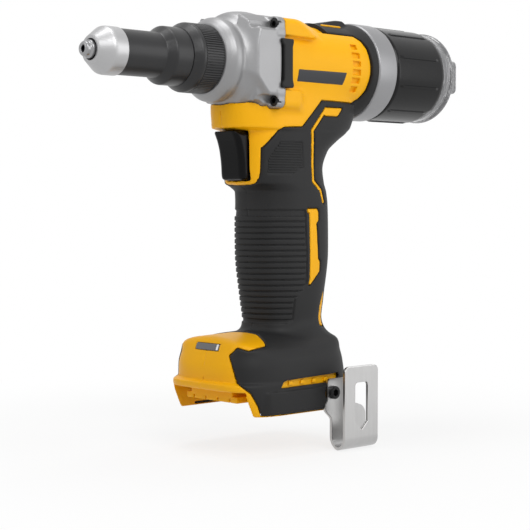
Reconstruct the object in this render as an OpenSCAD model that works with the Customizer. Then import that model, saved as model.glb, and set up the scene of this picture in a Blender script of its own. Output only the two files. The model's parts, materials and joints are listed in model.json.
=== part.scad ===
// Battery rivet tool, bare, without its battery pack.
// The barrel axis is X and the nosepiece tip is the origin: +X points out of the nose, +Y to the
// left of the person holding it, +Z up. A station is a distance behind the tip along that axis.

/* [Nose] */
// Bore of the nosepiece, which takes the rivet's mandrel
mandrel_d = 3.2; // [2.4:0.1:4.4]
// Diameter of the nosepiece at its tip
tip_d = 7.2; // [6.4:0.1:8]
// Width of the nosepiece's hexagon across its corners
tip_hex_d = 9; // [8.6:0.1:9.4]
// How far the nosepiece stands ahead of the nose cone
tip_out = 4.4; // [3.4:0.1:7]
// Diameter of the nose cone's front face
cone_face_d = 14.4; // [12.5:0.1:18]
// Length of the nose cone
cone_l = 14.2; // [12.5:0.1:18]
// Largest diameter of the nose cone
cone_d = 22.8; // [22:0.1:27]
// Diameter of the straight nose sleeve
sleeve_d = 21.8; // [20.6:0.1:24]
// Length of the straight part of the nose sleeve
sleeve_l = 23.2; // [18:0.1:34]
// Diameter of the collar at the rear of the nose sleeve
collar_d = 28.3; // [26:0.1:31]
// Length of that collar with its flare
collar_l = 13.8; // [9:0.1:20]
// Diameter of the knurled locking collar
lock_d = 34; // [32:0.1:38]
// Length of the locking collar with its flare
lock_l = 17.3; // [14:0.1:24]
// Length of each of the two flares
flare_l = 4; // [2.5:0.1:6]
// Ridges round the knurled collar
knurls = 72; // [36:2:96]

/* [Gear housing] */
// Length of the gear housing that shows
gear_l = 31.1; // [29:0.1:38]
// Diameter of its front shoulder
shoulder_d = 42; // [40:0.1:45]
// Height of its rear end
gear_h = 51.2; // [50:0.1:54]
// Width of its rear end
gear_w = 56; // [54:0.1:60]
// Sideways distance of the housing screws from the axis
ear_y = 25.4; // [24.5:0.1:27]
// Height of the upper housing screws above the axis
ear_up = 17.7; // [17:0.1:20]
// Depth of the lower housing screws below the axis
ear_down = 20.1; // [18:0.1:21]
// Diameter of a screw boss
ear_d = 10; // [9:0.1:11]

/* [Barrel and rear] */
// Diameter of the motor barrel
barrel_d = 47; // [46.4:0.1:49]
// Length of the motor barrel, from the gear housing to the rear band
barrel_l = 70; // [66:0.1:82]
// Diameter of the rear band
band_d = 52; // [51:0.1:56]
// Length of the rear band
band_l = 14.4; // [13:0.1:20]
// Diameter of the collection cup
cup_d = 50.8; // [49.8:0.1:54]
// Length of the collection cup's black sleeve
cup_l = 39.6; // [30:0.1:60]
// Length of the clear end cap that shows behind the sleeve
cap_l = 8.6; // [6:0.1:14]
// How far the twist bar stands out of the end cap
bar_out = 8; // [4:0.1:12]

/* [Grip and foot] */
// Distance of the grip's centre line behind the gear housing
grip_back = 23; // [21:0.1:25]
// Depth of the grip front to back at the palm
grip_depth = 50; // [46:0.1:54]
// Width of the grip at the palm
grip_width = 39; // [38:0.1:44]
// Depth of the trigger guard's lip below the barrel axis
guard_drop = 61.5; // [61:0.1:66]
// Length of the grip, from the guard's lip to the foot
grip_l = 75; // [70:0.1:95]
// Thickness of the rubber on the grip
rubber_t = 1.8; // [1.2:0.1:2.4]
// Length of the foot, front to back
foot_l = 82; // [80:0.1:92]
// Width of the foot
foot_w = 66.4; // [64:0.1:72]
// Height of the foot
foot_h = 38; // [37:0.1:44]
// Width of the battery bay
bay_w = 54; // [52:0.1:56]
// Height of the battery bay
bay_h = 11.5; // [11:0.1:13]
// Length of the battery bay from the front of the foot
bay_l = 68; // [62:0.1:70]

/* [Trigger] */
// Height of the trigger
trigger_h = 23.6; // [20:0.1:24]
// Width of the trigger
trigger_w = 17.6; // [14:0.1:19]
// How far the trigger travels
trigger_travel = 6.5; // [3:0.1:7.5]

/* [Belt hook] */
// Width of the hook's steel strip
hook_w = 25.2; // [20:0.1:27]
// Thickness of the strip
hook_t = 1.5; // [1:0.1:2]
// Height of the hook's outer plate above its bend
hook_h = 31.5; // [24:0.1:36]
// Free gap behind the outer plate
hook_gap = 9.8; // [9:0.1:14]
// Diameter of the hook screw's thread
hook_screw_d = 4; // [3:0.1:5]

/* [Drive] */
// Pulling stroke of the spindle
stroke = 25; // [15:0.1:26]
// Outside diameter of the screw spindle
spindle_d = 12; // [11.4:0.1:12.4]
// Bore of the tube that leads spent mandrels to the cup
tube_bore_d = 5.4; // [4.6:0.1:5.8]
// Wall of that tube
tube_wall = 0.7; // [0.5:0.1:0.9]
// Outside diameter of the jaw case
jaw_case_d = 17.4; // [16.8:0.1:18]
// Tooth size of the gears, pitch diameter per tooth
gear_module = 0.75; // [0.72:0.01:0.77]
// Teeth of the sun gear
sun_teeth = 24; // [24:6:24]
// Teeth of each planet gear
planet_teeth = 12; // [12:6:12]
// Length of the teeth along the axis
gear_face = 10; // [8:0.1:11]
// Outside diameter of the rotor
rotor_d = 27.2; // [24:0.1:29]
// Length of the rotor's iron
rotor_l = 30; // [24:0.1:36]
// Slots in the stator
stator_slots = 9; // [6:3:12]

/* [Clearances] */
// Radial running clearance of a shaft in its bearing or nut
run_gap = 0.05; // [0.02:0.01:0.1]
// Clearance round other moving pieces
free_gap = 0.3; // [0.2:0.05:0.5]
// Clearance round a piece that is seated
seat_gap = 0.05; // [0:0.01:0.1]

/* [Hidden] */
$fn = 64;

// Stations of the outside, from the tip back
cone_s = tip_out;
sleeve_s = cone_s + cone_l;
collar_s = sleeve_s + sleeve_l;
lock_s = collar_s + collar_l;
gear_s = lock_s + lock_l;
seam_s = gear_s + gear_l;
band_s = seam_s + barrel_l;
cup_s = band_s + band_l;
cap_s = cup_s + cup_l;
end_s = cap_s + cap_l;
grip_s = seam_s + grip_back;

// Radii
mandrel_r = mandrel_d / 2;
tip_r = tip_d / 2;
hex_r = tip_hex_d / 2;
cone_r = cone_d / 2;
sleeve_r = sleeve_d / 2;
collar_r = collar_d / 2;
lock_r = lock_d / 2;
shoulder_r = shoulder_d / 2;
barrel_r = barrel_d / 2;
band_r = band_d / 2;
cup_r = cup_d / 2;
ear_r = ear_d / 2;
spindle_r = spindle_d / 2;
tube_bore_r = tube_bore_d / 2;
tube_r = tube_bore_r + tube_wall;
jaw_case_r = jaw_case_d / 2;
hook_screw_r = hook_screw_d / 2;
rotor_r = rotor_d / 2;

// Nosepiece: hexagon, shank and pilot, one behind the other
hex_l = 4;
shank_r = tip_r;
shank_l = 4;
pilot_l = 4.6;
pilot_r = mandrel_r + 0.7;
hex_s = cone_s - 1.2;
shank_s = hex_s + hex_l + 1.2;
pilot_s = shank_s + shank_l;
nosepiece_end = pilot_s + pilot_l;
cone_mouth_r = hex_r + 0.35;
nose_bore_r = jaw_case_r + free_gap;
spigot_wall = 0.9;
spigot_r = nose_bore_r + spigot_wall;
lock_spigot_r = collar_r - 1.8;
lock_thread_r = lock_r - 3;
lock_mid_s = lock_s + flare_l + 2.4;

// Drive train, from the front back
case_s = nosepiece_end + 0.4;
case_l = 26;
taper_l = 0.54 * case_l;
jaw_l = 0.385 * case_l;
pusher_l = 0.17 * case_l;
plug_l = 0.23 * case_l;
taper_mouth_r = mandrel_r + 1.7;
taper_r = jaw_case_r - 2.1;
jaw_s = case_s + 1.2;
pusher_s = jaw_s + jaw_l + free_gap;
plug_s = case_s + case_l - plug_l;
spindle_l = 64;
spindle_end = case_s + case_l + spindle_l;
front_wall_s = gear_s + 7;
thrust_l = 4;
end_play = 0.15;
nut_s = front_wall_s + thrust_l + end_play;
nut_l = 14;
plate_l = 4;
plate_s = nut_s + nut_l;
gears_s = plate_s + plate_l + 0.5;
gears_end = gears_s + gear_face;
ring_teeth = sun_teeth + 2 * planet_teeth;
sun_r = gear_module * sun_teeth / 2;
planet_r = gear_module * planet_teeth / 2;
ring_r = gear_module * ring_teeth / 2;
carrier_r = sun_r + planet_r;
ring_out_r = ring_r + 2.5;
ring_seat_r = ring_out_r + seat_gap;
rear_spigot_r = barrel_r - 1.9;
barrel_bore_r = rear_spigot_r + seat_gap;
chamber_r = carrier_r + 4.2;
planet_pin_r = 1.5;
planets = 3;
shaft_bore_r = spindle_r + 0.6;
shaft_r = shaft_bore_r + 1.4;
bearing_r = shaft_r + 5;
bearing_w = 4.5;
plate_w = 5;
bearing_plate_s = gears_end + 2.5;
stator_s = bearing_plate_s + plate_w + 2;
stator_in_r = rotor_r + 0.6;
yoke_t = 2.6;
rotor_s = stator_s + 1;
stator_l = rotor_l + 2;
fan_s = rotor_s + rotor_l + 4;
fan_l = 8;
fan_r = barrel_bore_r - 2.5;
rear_bearing_s = band_s + 0.5;
shaft_end = rear_bearing_s + bearing_w + 1;
band_wall_l = 6.5;
tube_hub_s = cup_s - 4;
tube_s = nut_s + 3;
tube_end = cup_s + 3;
key_w = 2;
key_depth = 1.1;
cup_wall = 2.4;
cup_bore_r = cup_r - cup_wall;
cup_spigot_r = cup_bore_r - free_gap;
cup_spigot_l = 7.5;
cap_plate_t = 3;
cap_spigot_l = 6;
bar_y = 20.5;
bar_z = 9.3;

// Screws
screw_r = 1.9;
head_r = 2.9;
head_l = 3.4;
ear_l = 7.5;
ear_s = seam_s - ear_l;
boss_l = 11;
channel_r = head_r + 0.7;
ears = [[ear_y, ear_up], [-ear_y, ear_up], [ear_y, -ear_down], [-ear_y, -ear_down]];

// Grip and foot heights, from the barrel axis down
guard_z = -guard_drop;
foot_z = guard_z - grip_l;
bottom_z = foot_z - foot_h;
half_depth = grip_depth / 2;
half_width = grip_width / 2;
foot_half = foot_w / 2;
foot_rear = 25.3;
foot_front = foot_l - foot_rear;
plain_n = 4;
rubber_n = 12;
barrel_n = 20;
lip_z = foot_z - 23;
bay_top_z = bottom_z + bay_h;
bay_half = bay_w / 2;
foot_front_s = grip_s - foot_front;
bay_end_s = foot_front_s + bay_l;

// Rows of the grip's loft: height, reach to the front, reach to the rear, half width, squareness,
// how far to the front the rubber comes, depth of the seat that the rubber lies in
no_seat = 0.05;
body_front = 38;
all_round = 2 * body_front;
grip_rows = [
    [-10, body_front, half_depth + 15, half_width + 0.2, 2.6, -12.5, no_seat],
    [-17.9, body_front, half_depth + 17.6, half_width + 0.8, 2.6, -12.5, no_seat],
    [-18, body_front, half_depth + 17.6, half_width + 0.8, 2.6, -12.5, rubber_t],
    [-24, body_front, half_depth + 19, half_width + 1, 2.6, -5.5, rubber_t],
    [-31.4, body_front + 0.5, half_depth + 14, half_width + 1, 2.6, 2.8, rubber_t],
    [-33.4, body_front + 0.6, half_depth + 12, half_width + 0.9, 2.6, 16.7, rubber_t],
    [-38, body_front + 0.8, half_depth + 6.5, half_width + 0.7, 2.6, 24, rubber_t],
    [-44, body_front + 1, half_depth + 1, half_width + 0.4, 2.6, 32.5, rubber_t],
    [-53, body_front + 1, half_depth - 2.5, half_width + 0.1, 2.6, 36, rubber_t],
    [guard_z + 1, body_front + 1.2, half_depth - 1.5, half_width, 2.6, all_round, rubber_t],
    [guard_z - 1.5, body_front - 0.5, half_depth - 1, half_width, 2.6, all_round, rubber_t],
    [guard_z - 4.5, half_depth + 3.5, half_depth - 0.5, half_width, 2.6, all_round, rubber_t],
    [guard_z - 9, half_depth, half_depth, half_width, 2.6, all_round, rubber_t],
    [guard_z - 19, half_depth, half_depth + 0.4, half_width, 2.6, all_round, rubber_t],
    [guard_z - grip_l * 0.45, half_depth - 0.3, half_depth, half_width - 0.1, 2.6, all_round, rubber_t],
    [guard_z - grip_l * 0.78, half_depth - 3.1, half_depth - 3.3, half_width - 1.6, 2.6, all_round, rubber_t],
    [foot_z + 4, half_depth - 4.5, half_depth - 4.5, half_width - 2.5, 2.6, all_round, rubber_t],
    [foot_z + 0.8, half_depth - 3.5, half_depth - 3.6, half_width - 1.6, 2.7, all_round, rubber_t],
    [foot_z - 0.5, foot_front - 9, foot_rear - 2.6, half_width + 1.5, 3.2, foot_front - 20.7, rubber_t],
    [foot_z - 3.5, foot_front - 5, foot_rear - 1.2, foot_half - 7, 3.6, foot_front - 16.7, rubber_t],
    [foot_z - 7.5, foot_front - 1.6, foot_rear - 0.3, foot_half - 2.2, 4, foot_front - 5.7, rubber_t],
    [lip_z + 0.8, foot_front - 2.2, foot_rear, foot_half, 4.6, foot_front - 6.7, rubber_t],
    [lip_z - 0.6, foot_front, foot_rear, foot_half, 4.6, foot_front - 7.2, rubber_t],
    [lip_z - 4.4, foot_front - 0.4, foot_rear, foot_half, 4.6, foot_front - 9.7, rubber_t],
    [bottom_z, foot_front - 4, foot_rear, foot_half - 0.4, 4.6, foot_front - 9.7, rubber_t]];

// Trigger and switch
trigger_top_z = -36.2;
trigger_bottom_z = trigger_top_z - trigger_h;
trigger_out = 42.5;
trigger_depth = 12.5;
trigger_front_s = grip_s - trigger_out;
trigger_back_s = trigger_front_s + trigger_depth;
trigger_half = trigger_w / 2;
pocket_end_s = trigger_back_s + trigger_travel + 0.8;
switch_l = 22;
switch_half = 8.5;
stem_r = 3;
stem_l = 9;

// Belt hook, on the left side of the foot
hook_y = foot_half;
hook_out_y = hook_y + hook_t + hook_gap;
hook_bend_r = (hook_gap + 2 * hook_t) / 2;
hook_bend_y = hook_y + hook_bend_r;
hook_bend_z = bottom_z - 11;
hook_top_z = hook_bend_z + hook_h;
hook_rear_s = grip_s + foot_rear - 0.4;
hook_front_s = hook_rear_s - hook_w;
hook_tab_w = 15;
hook_screw_s = hook_front_s + 5.6;
hook_screw_z = bottom_z + 8;
hook_tab_top_z = hook_screw_z + 7;
hook_head_r = 3.4;
hook_head_l = 2.6;
slot_w = 6.8;
slot_h = 22;
boss_r = 5;
insert_r = hook_screw_r + 1.3;

// Signed power, for superellipses
function spow(v, e) = sign(v) * pow(abs(v), e);

// The rows from the bottom up, which is the order that turns the skin outward
function upward(rows) = [for (i = [len(rows) - 1:-1:0]) rows[i]];

// A point on a row of the grip's loft, at an angle from the front and a depth under the skin
function row_mid(row) = grip_s + (row[2] - row[1]) / 2;
function row_half(row) = (row[1] + row[2]) / 2;
function on_row(row, a, skin) = [-row_mid(row) + (row_half(row) - skin) * spow(cos(a), 2 / row[4]),
    (row[3] - skin) * pow(sin(a), 2 / row[4]), row[0]];
function row_arc(row, a0, a1, n, skin) =
    [for (i = [0:n]) on_row(row, i == n ? a1 : a0 + (a1 - a0) * i / n, skin)];

// The angle at which the rubber begins on a row, which is close to the front where it goes all round
edge_least = 0.4;
edge_play = 0.3;

// Air between the rubber and its seat, and how far the rubber is lifted off the nearly level top of the foot
rubber_play = 0.4;
shelf_lift = 0.4;
function lifted(points, rise) = [for (p = points) [p[0], p[1], p[2] + rise]];
function row_edge(row) = let (c = (row_mid(row) - grip_s + row[5]) / row_half(row))
    max(edge_least, acos(min(1, spow(c, row[4] / 2))));

// A ring of a loft along the barrel: station, half width, half height, squareness, sweep, steps
function barrel_ring(row, sweep, n, last) =
    [for (i = [0:last]) let (a = sweep * i / n)
        [-row[0], row[1] * spow(sin(a), 2 / row[3]), row[2] * spow(cos(a), 2 / row[3])]];

// Skin over a stack of rings, with its two ends closed; a ring that runs out along one side of a
// strip and back along the other is closed across the strip
module loft(rings, strip = false) {
    n = len(rings[0]);
    m = len(rings);
    sides = [for (j = [0:m - 2]) for (i = [0:n - 1])
        let (a = j * n + i, b = j * n + (i + 1) % n)
        each [[a, b + n, b], [a, a + n, b + n]]];
    top = (m - 1) * n;
    ends = strip
        ? [for (i = [0:n / 2 - 2]) each [[i, i + 1, n - 2 - i], [i, n - 2 - i, n - 1 - i],
            [top + n - 2 - i, top + i + 1, top + i], [top + n - 1 - i, top + n - 2 - i, top + i]]]
        : [[for (i = [0:n - 1]) i], [for (i = [n - 1:-1:0]) top + i]];
    polyhedron([for (ring = rings) each ring], concat(sides, ends));
}

// Puts children at a station on the barrel axis, with their own Z running to the rear
module on_axis(s) {
    translate([-s, 0, 0]) rotate([0, -90, 0]) children();
}

// A turned piece: points of radius and station
module turned(profile) {
    on_axis(0) rotate_extrude() polygon(profile);
}

// A plain ring between two stations
module collar(s0, s1, r_out, r_in) {
    turned([[r_in, s0], [r_out, s0], [r_out, s1], [r_in, s1]]);
}

// A solid rod between two stations
module rod(s0, s1, r) {
    on_axis(s0) cylinder(r = r, h = s1 - s0);
}

// A box between two stations, two sides and two heights
module block(s0, s1, y0, y1, z0, z1) {
    translate([-s1, y0, z0]) cube([s1 - s0, y1 - y0, z1 - z0]);
}

// A side outline of stations and heights, as thick as the given width
module side_plate(outline, width) {
    rotate([90, 0, 0]) linear_extrude(width, center = true) polygon([for (p = outline) [-p[0], p[1]]]);
}

// The same plate between two side distances
module side_plate_at(outline, y0, y1) {
    translate([0, (y0 + y1) / 2, 0]) side_plate(outline, y1 - y0);
}

// A round bar across the tool, from one side distance to another
module cross_bar(s, z, y0, y1, r) {
    translate([-s, y0, z]) rotate([-90, 0, 0]) cylinder(r = r, h = y1 - y0);
}

// An involute gear outline, with the thickness of its teeth reduced by the play
function involute_deg(r, base) = let (t = sqrt(max(0, r * r / base / base - 1))) t * 180 / PI - atan(t);
module gear_outline(teeth, addendum, dedendum, play) {
    pitch = gear_module * teeth / 2;
    base = pitch * cos(20);
    top = pitch + addendum;
    root = pitch - dedendum;
    half = 90 / teeth - play / 2 / pitch * 180 / PI + involute_deg(pitch, base);
    radii = [for (k = [0:4]) max(base, root) + (top - max(base, root)) * k / 4];
    polygon([for (t = [0:teeth - 1]) let (c = 360 * t / teeth)
        each concat([[root * cos(c - half), root * sin(c - half)]],
            [for (r = radii) let (a = c - half + involute_deg(r, base)) [r * cos(a), r * sin(a)]],
            [for (k = [4:-1:0]) let (r = radii[k], a = c + half - involute_deg(r, base)) [r * cos(a), r * sin(a)]],
            [[root * cos(c + half), root * sin(c + half)]])]);
}
stub = 0.75 * gear_module;
foot_of_tooth = 1.05 * gear_module;
tooth_play = 0.16;

// Nose

module nosepiece() {
    color("lightgray") difference() {
        union() {
            turned([[0, 0], [tip_r - 0.6, 0], [tip_r, 0.6], [tip_r, hex_s], [hex_r, hex_s + 0.6],
                [hex_r, hex_s + 0.7], [shank_r, hex_s + 0.7], [shank_r, pilot_s], [pilot_r, nosepiece_end],
                [0, nosepiece_end]]);
            on_axis(hex_s + 0.6) cylinder(r = hex_r, h = shank_s - hex_s - 0.6, $fn = 6);
        }
        rod(-1, nosepiece_end + 1, mandrel_r);
    }
}

module nose_cone() {
    color("silver") turned([[cone_mouth_r, cone_s], [cone_face_d / 2 - 0.8, cone_s],
        [cone_face_d / 2 - 0.2, cone_s + 0.2], [cone_face_d / 2, cone_s + 0.8],
        [cone_r - 0.3, cone_s + 6.6], [cone_r, cone_s + 7.2], [cone_r, sleeve_s],
        [spigot_r, sleeve_s], [spigot_r, sleeve_s - 5.5], [shank_r + seat_gap, sleeve_s - 5.5],
        [shank_r + seat_gap, shank_s], [cone_mouth_r, shank_s]]);
}

module nose_sleeve() {
    color("dimgray") turned([[nose_bore_r, sleeve_s - 5.5], [spigot_r - seat_gap, sleeve_s - 5.5],
        [spigot_r - seat_gap, sleeve_s], [sleeve_r, sleeve_s], [sleeve_r, collar_s],
        [collar_r, collar_s + flare_l], [collar_r, lock_s], [lock_spigot_r, lock_s],
        [lock_spigot_r, lock_mid_s], [nose_bore_r, lock_mid_s]]);
}

module locking_collar() {
    knurl_s = lock_s + flare_l + 0.6;
    color("dimgray") {
        difference() {
            union() {
                turned([[0, lock_s], [collar_r, lock_s], [lock_r, lock_s + flare_l], [lock_r, knurl_s], [0, knurl_s]]);
                on_axis(knurl_s) linear_extrude(gear_s - knurl_s) polygon([for (i = [0:2 * knurls - 1])
                    let (a = 180 * i / knurls, r = lock_r - (i % 2 == 0 ? 0 : 0.45)) [r * cos(a), r * sin(a)]]);
            }
            rod(lock_s - 1, lock_mid_s, lock_spigot_r + seat_gap);
            rod(lock_mid_s - 1, gear_s + 1, lock_thread_r + seat_gap);
        }
    }
}

// Gear housing and its screws

gear_loft_rows = [[gear_s + 9, shoulder_r - 0.8, shoulder_r - 0.8, 2],
    [gear_s + 12, shoulder_r + 1.6, shoulder_r + 1.4, 2.05],
    [gear_s + 16, shoulder_r + 4, gear_h / 2 - 1, 2.2],
    [gear_s + 20, gear_w / 2 - 1.6, gear_h / 2 - 0.2, 2.5],
    [seam_s - 7, gear_w / 2 - 0.5, gear_h / 2, 2.8],
    [seam_s, gear_w / 2, gear_h / 2, 3]];

module gear_rear(gap) {
    grow = [0, gap, gap, 0];
    loft([for (row = gear_loft_rows) barrel_ring(row + grow, 360, 2 * barrel_n, 2 * barrel_n - 1)]);
    for (e = ears) translate([0, e[0], e[1]]) rod(ear_s, seam_s, ear_r + gap);
}

module gear_front() {
    turned([[0, gear_s], [lock_r + 0.3, gear_s], [shoulder_r - 1.2, gear_s + 3], [shoulder_r - 0.2, gear_s + 5],
        [shoulder_r, gear_s + 7], [shoulder_r - 0.8, gear_s + 9.1], [0, gear_s + 9.1]]);
}

module gear_housing() {
    color("silver") difference() {
        union() {
            gear_front();
            gear_rear(0);
            collar(lock_mid_s, gear_s + 1, lock_thread_r, nose_bore_r);
            rod(seam_s - 1, bearing_plate_s, rear_spigot_r);
        }
        rod(lock_mid_s - 1, front_wall_s + 1, nose_bore_r);
        rod(front_wall_s, gears_s + 1, chamber_r);
        rod(gears_s, bearing_plate_s + 1, ring_seat_r);
        guide_key_slot(seat_gap);
        for (e = ears) translate([0, e[0], e[1]]) {
            rod(gear_s, ear_s, channel_r);
            rod(ear_s - 1, seam_s + 1, screw_r + seat_gap);
        }
        bumpers();
    }
}

module gear_housing_screws() {
    color("black") for (e = ears) translate([0, e[0], e[1]]) difference() {
        union() {
            rod(ear_s - head_l, ear_s, head_r);
            rod(ear_s - 0.5, seam_s + boss_l - 1, screw_r);
        }
        on_axis(ear_s - head_l - 1) cylinder(r = 1.6, h = 2.6, $fn = 6);
    }
}

// Two rubber blocks let into the sides, across the seam
bumper_front_s = seam_s - 3;
bumper_back_s = seam_s + 5;
bumper_top_z = 10.5;
bumper_low_z = -13;
bumper_cut = 2;
bumper_in_y = gear_w / 2 - 2.6;
bumper_out_y = gear_w / 2 + 1.2;

module bumpers() {
    for (side = [0, 1]) mirror([0, side, 0]) side_plate_at([[bumper_front_s, bumper_low_z + bumper_cut],
        [bumper_front_s, bumper_top_z - bumper_cut], [bumper_front_s + bumper_cut, bumper_top_z],
        [bumper_back_s - bumper_cut, bumper_top_z], [bumper_back_s, bumper_top_z - bumper_cut],
        [bumper_back_s, bumper_low_z + bumper_cut], [bumper_back_s - bumper_cut, bumper_low_z],
        [bumper_front_s + bumper_cut, bumper_low_z]], bumper_in_y, bumper_out_y);
}

module side_bumpers() {
    color("black") bumpers();
}

// Motor housing halves, the left one made and the right one mirrored

barrel_rows = [[seam_s, gear_w / 2, gear_h / 2, 3], [seam_s + 5, gear_w / 2 - 0.8, gear_h / 2 - 0.4, 2.8],
    [seam_s + 11, gear_w / 2 - 2.6, gear_h / 2 - 1.2, 2.4], [seam_s + 18, barrel_r - 1.5, barrel_r - 1.5, 2]];

module barrel_half() {
    loft([for (row = barrel_rows) barrel_ring(row, 180, barrel_n, barrel_n)]);
    intersection() {
        rod(seam_s, band_s, barrel_r);
        block(seam_s, band_s, 0, barrel_r + 5, -barrel_r - 5, barrel_r + 5);
    }
    for (e = ears) if (e[0] > 0) translate([0, e[0], e[1]]) turned([[0, seam_s], [ear_r, seam_s],
        [ear_r, seam_s + boss_l - 5], [ear_r - 1.4, seam_s + boss_l - 1], [ear_r - 2.4, seam_s + boss_l],
        [0, seam_s + boss_l]]);
}

// The plastic of the grip and foot, bare at the front and set back where the rubber lies on it
module grip_half() {
    loft([for (row = upward(grip_rows)) let (e = row_edge(row))
        concat(row_arc(row, 0, e, plain_n, 0), row_arc(row, e, 180, rubber_n, row[6]))]);
}

// The rubber that lies there
module rubber_half() {
    rows = [for (row = upward(grip_rows)) if (row[6] == rubber_t) row];
    loft([for (row = rows) let (e = row_edge(row) + edge_play)
        concat(row_arc(row, e, 180, rubber_n, 0),
            lifted(row_arc(row, 180, e, rubber_n, rubber_t - rubber_play), abs(row[0] - foot_z) < 1 ? shelf_lift : 0))],
        true);
}

// Cooling air leaves through slots in the side of the barrel
vents = 6;
vent_pitch = 4.3;
vent_top_z = 10.4;
vent_s = band_s - 17.7;
vent_l = 6;
vent_h = 2.2;

module vent_slots() {
    for (i = [0:vents - 1]) let (z = vent_top_z - vent_pitch * i)
        block(vent_s, vent_s + vent_l, barrel_bore_r / 2, barrel_r + 2, z - vent_h / 2, z + vent_h / 2);
}

module housing_half() {
    difference() {
        union() {
            difference() {
                grip_half();
                rear_bumper_space();
            }
            barrel_half();
            cross_bar(hook_screw_s, hook_screw_z, bay_half - 1, foot_half, boss_r);
        }
        gear_rear(2 * seat_gap);
        rod(seam_s - 1, cup_s, barrel_bore_r);
        for (e = ears) translate([0, e[0], e[1]]) rod(seam_s - 1, seam_s + boss_l + 1, screw_r + seat_gap, $fn = 16);
        bumpers();
        vent_slots();
        trigger_pocket();
        switch_case(seat_gap);
        block(foot_front_s - 1, bay_end_s, -1, bay_half, bottom_z - 1, bay_top_z);
        control_case(seat_gap);
        led_pocket();
        cross_bar(hook_screw_s, hook_screw_z, bay_half - 2, foot_half + 1, insert_r + seat_gap);
        housing_screw_holes();
    }
}

module housing_left() {
    color("gold") housing_half();
}

module housing_right() {
    color("gold") difference() {
        mirror([0, 1, 0]) housing_half();
        for (p = case_screws) cross_bar(p[0], p[1], -foot_w, -case_head_y, head_r + well_play);
    }
}

module grip_rubber_half() {
    difference() {
        rubber_half();
        rod(gear_s, cup_s, barrel_r + seat_gap);
        rear_bumper_space();
        trigger_pocket();
        cross_bar(hook_screw_s, hook_screw_z, 0, foot_half + 5, boss_r);
    }
}

module grip_rubber_left() {
    color("dimgray") grip_rubber_half();
}

module grip_rubber_right() {
    color("dimgray") difference() {
        mirror([0, 1, 0]) grip_rubber_half();
        for (p = case_screws) cross_bar(p[0], p[1], -foot_w, -screw_r, head_r + well_play);
    }
}

// Screws that clamp the two halves, put in from the right
case_screws = [[grip_s + 14, -42], [grip_s + 12, guard_z - 12], [grip_s, foot_z + 12], [grip_s + 18, foot_z - 10]];
case_head_y = 9;
well_play = 0.4;
case_screw_end = 10;

module housing_screw_holes() {
    for (p = case_screws) cross_bar(p[0], p[1], -1, case_screw_end + 1, screw_r + seat_gap, $fn = 16);
}

module housing_screws() {
    color("black") for (p = case_screws) {
        cross_bar(p[0], p[1], -case_head_y - head_l, -case_head_y, head_r);
        cross_bar(p[0], p[1], -case_head_y - 0.5, case_screw_end, screw_r);
    }
}

// Rubber ring and ridge at the rear end of the barrel
rear_bumper_s = band_s - 9;
rear_bumper_r = band_r - 0.5;
ridge_l = 24;
ridge_half = 7;
ridge_h = 2.8;

module rear_bumper_space() {
    rod(rear_bumper_s - seat_gap, cup_s, rear_bumper_r + 2 * seat_gap);
}

module rear_bumper() {
    color("dimgray") difference() {
        union() {
            rod(rear_bumper_s, band_s, rear_bumper_r);
            block(band_s - ridge_l, band_s, -ridge_half, ridge_half, barrel_r - ridge_h, barrel_r + ridge_h);
        }
        rod(seam_s, band_s + 1, barrel_r);
    }
}

// Rear band, collection cup and its end cap

module rear_band() {
    color("silver") difference() {
        union() {
            turned([[0, band_s], [band_r - 0.6, band_s], [band_r, band_s + 0.6], [band_r, cup_s - 0.6],
                [band_r - 0.6, cup_s], [0, cup_s]]);
            rod(cup_s - 1, cup_s + cup_spigot_l, cup_spigot_r);
        }
        rod(band_s - 1, rear_bearing_s + bearing_w, bearing_r + seat_gap);
        rod(band_s, tube_hub_s, shaft_r + 1.5);
        rod(band_s, cup_s + 1, tube_r + seat_gap);
        rod(cup_s, cup_s + cup_spigot_l + 1, cup_spigot_r - 2);
    }
}

module collection_cup() {
    ribs = 10;
    color("dimgray") difference() {
        turned([[cup_bore_r, cup_s + 0.2], [cup_r - 0.6, cup_s + 0.2], [cup_r, cup_s + 0.8], [cup_r, cap_s - 0.8],
            [cup_r - 0.8, cap_s], [cup_bore_r, cap_s]]);
        for (i = [0:ribs - 1]) rotate([360 * i / ribs, 0, 0])
            block(cup_s + 8, cap_s - 5, -1, 1, cup_r - 0.7, cup_r + 2);
    }
}

module cup_end_cap() {
    color("darkgray", 0.6) {
        turned([[cup_bore_r - 2, cap_s - cap_spigot_l], [cup_bore_r - seat_gap, cap_s - cap_spigot_l],
            [cup_bore_r - seat_gap, cap_s], [cup_r - 0.8, cap_s], [cup_r - 0.8, end_s - 3], [cup_r - 0.2, end_s - 2.4],
            [cup_r - 0.4, end_s - 0.4], [cup_r - 1.2, end_s], [0, end_s], [0, end_s - cap_plate_t],
            [cup_bore_r - 2, end_s - cap_plate_t]]);
        translate([-end_s - bar_out, 0, 0]) rotate([0, 90, 0]) linear_extrude(bar_out + cap_plate_t / 2)
            polygon([[-bar_z, -bar_y + 4], [-bar_z, bar_y - 4], [-bar_z + 4, bar_y], [bar_z - 4, bar_y],
                [bar_z, bar_y - 4], [bar_z, -bar_y + 4], [bar_z - 4, -bar_y], [-bar_z + 4, -bar_y]]);
    }
}

// Trigger and what is behind it

module trigger_pocket() {
    block(trigger_front_s - trigger_out, pocket_end_s, -trigger_half - free_gap, trigger_half + free_gap,
        trigger_bottom_z - free_gap, trigger_top_z + free_gap);
}

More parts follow.
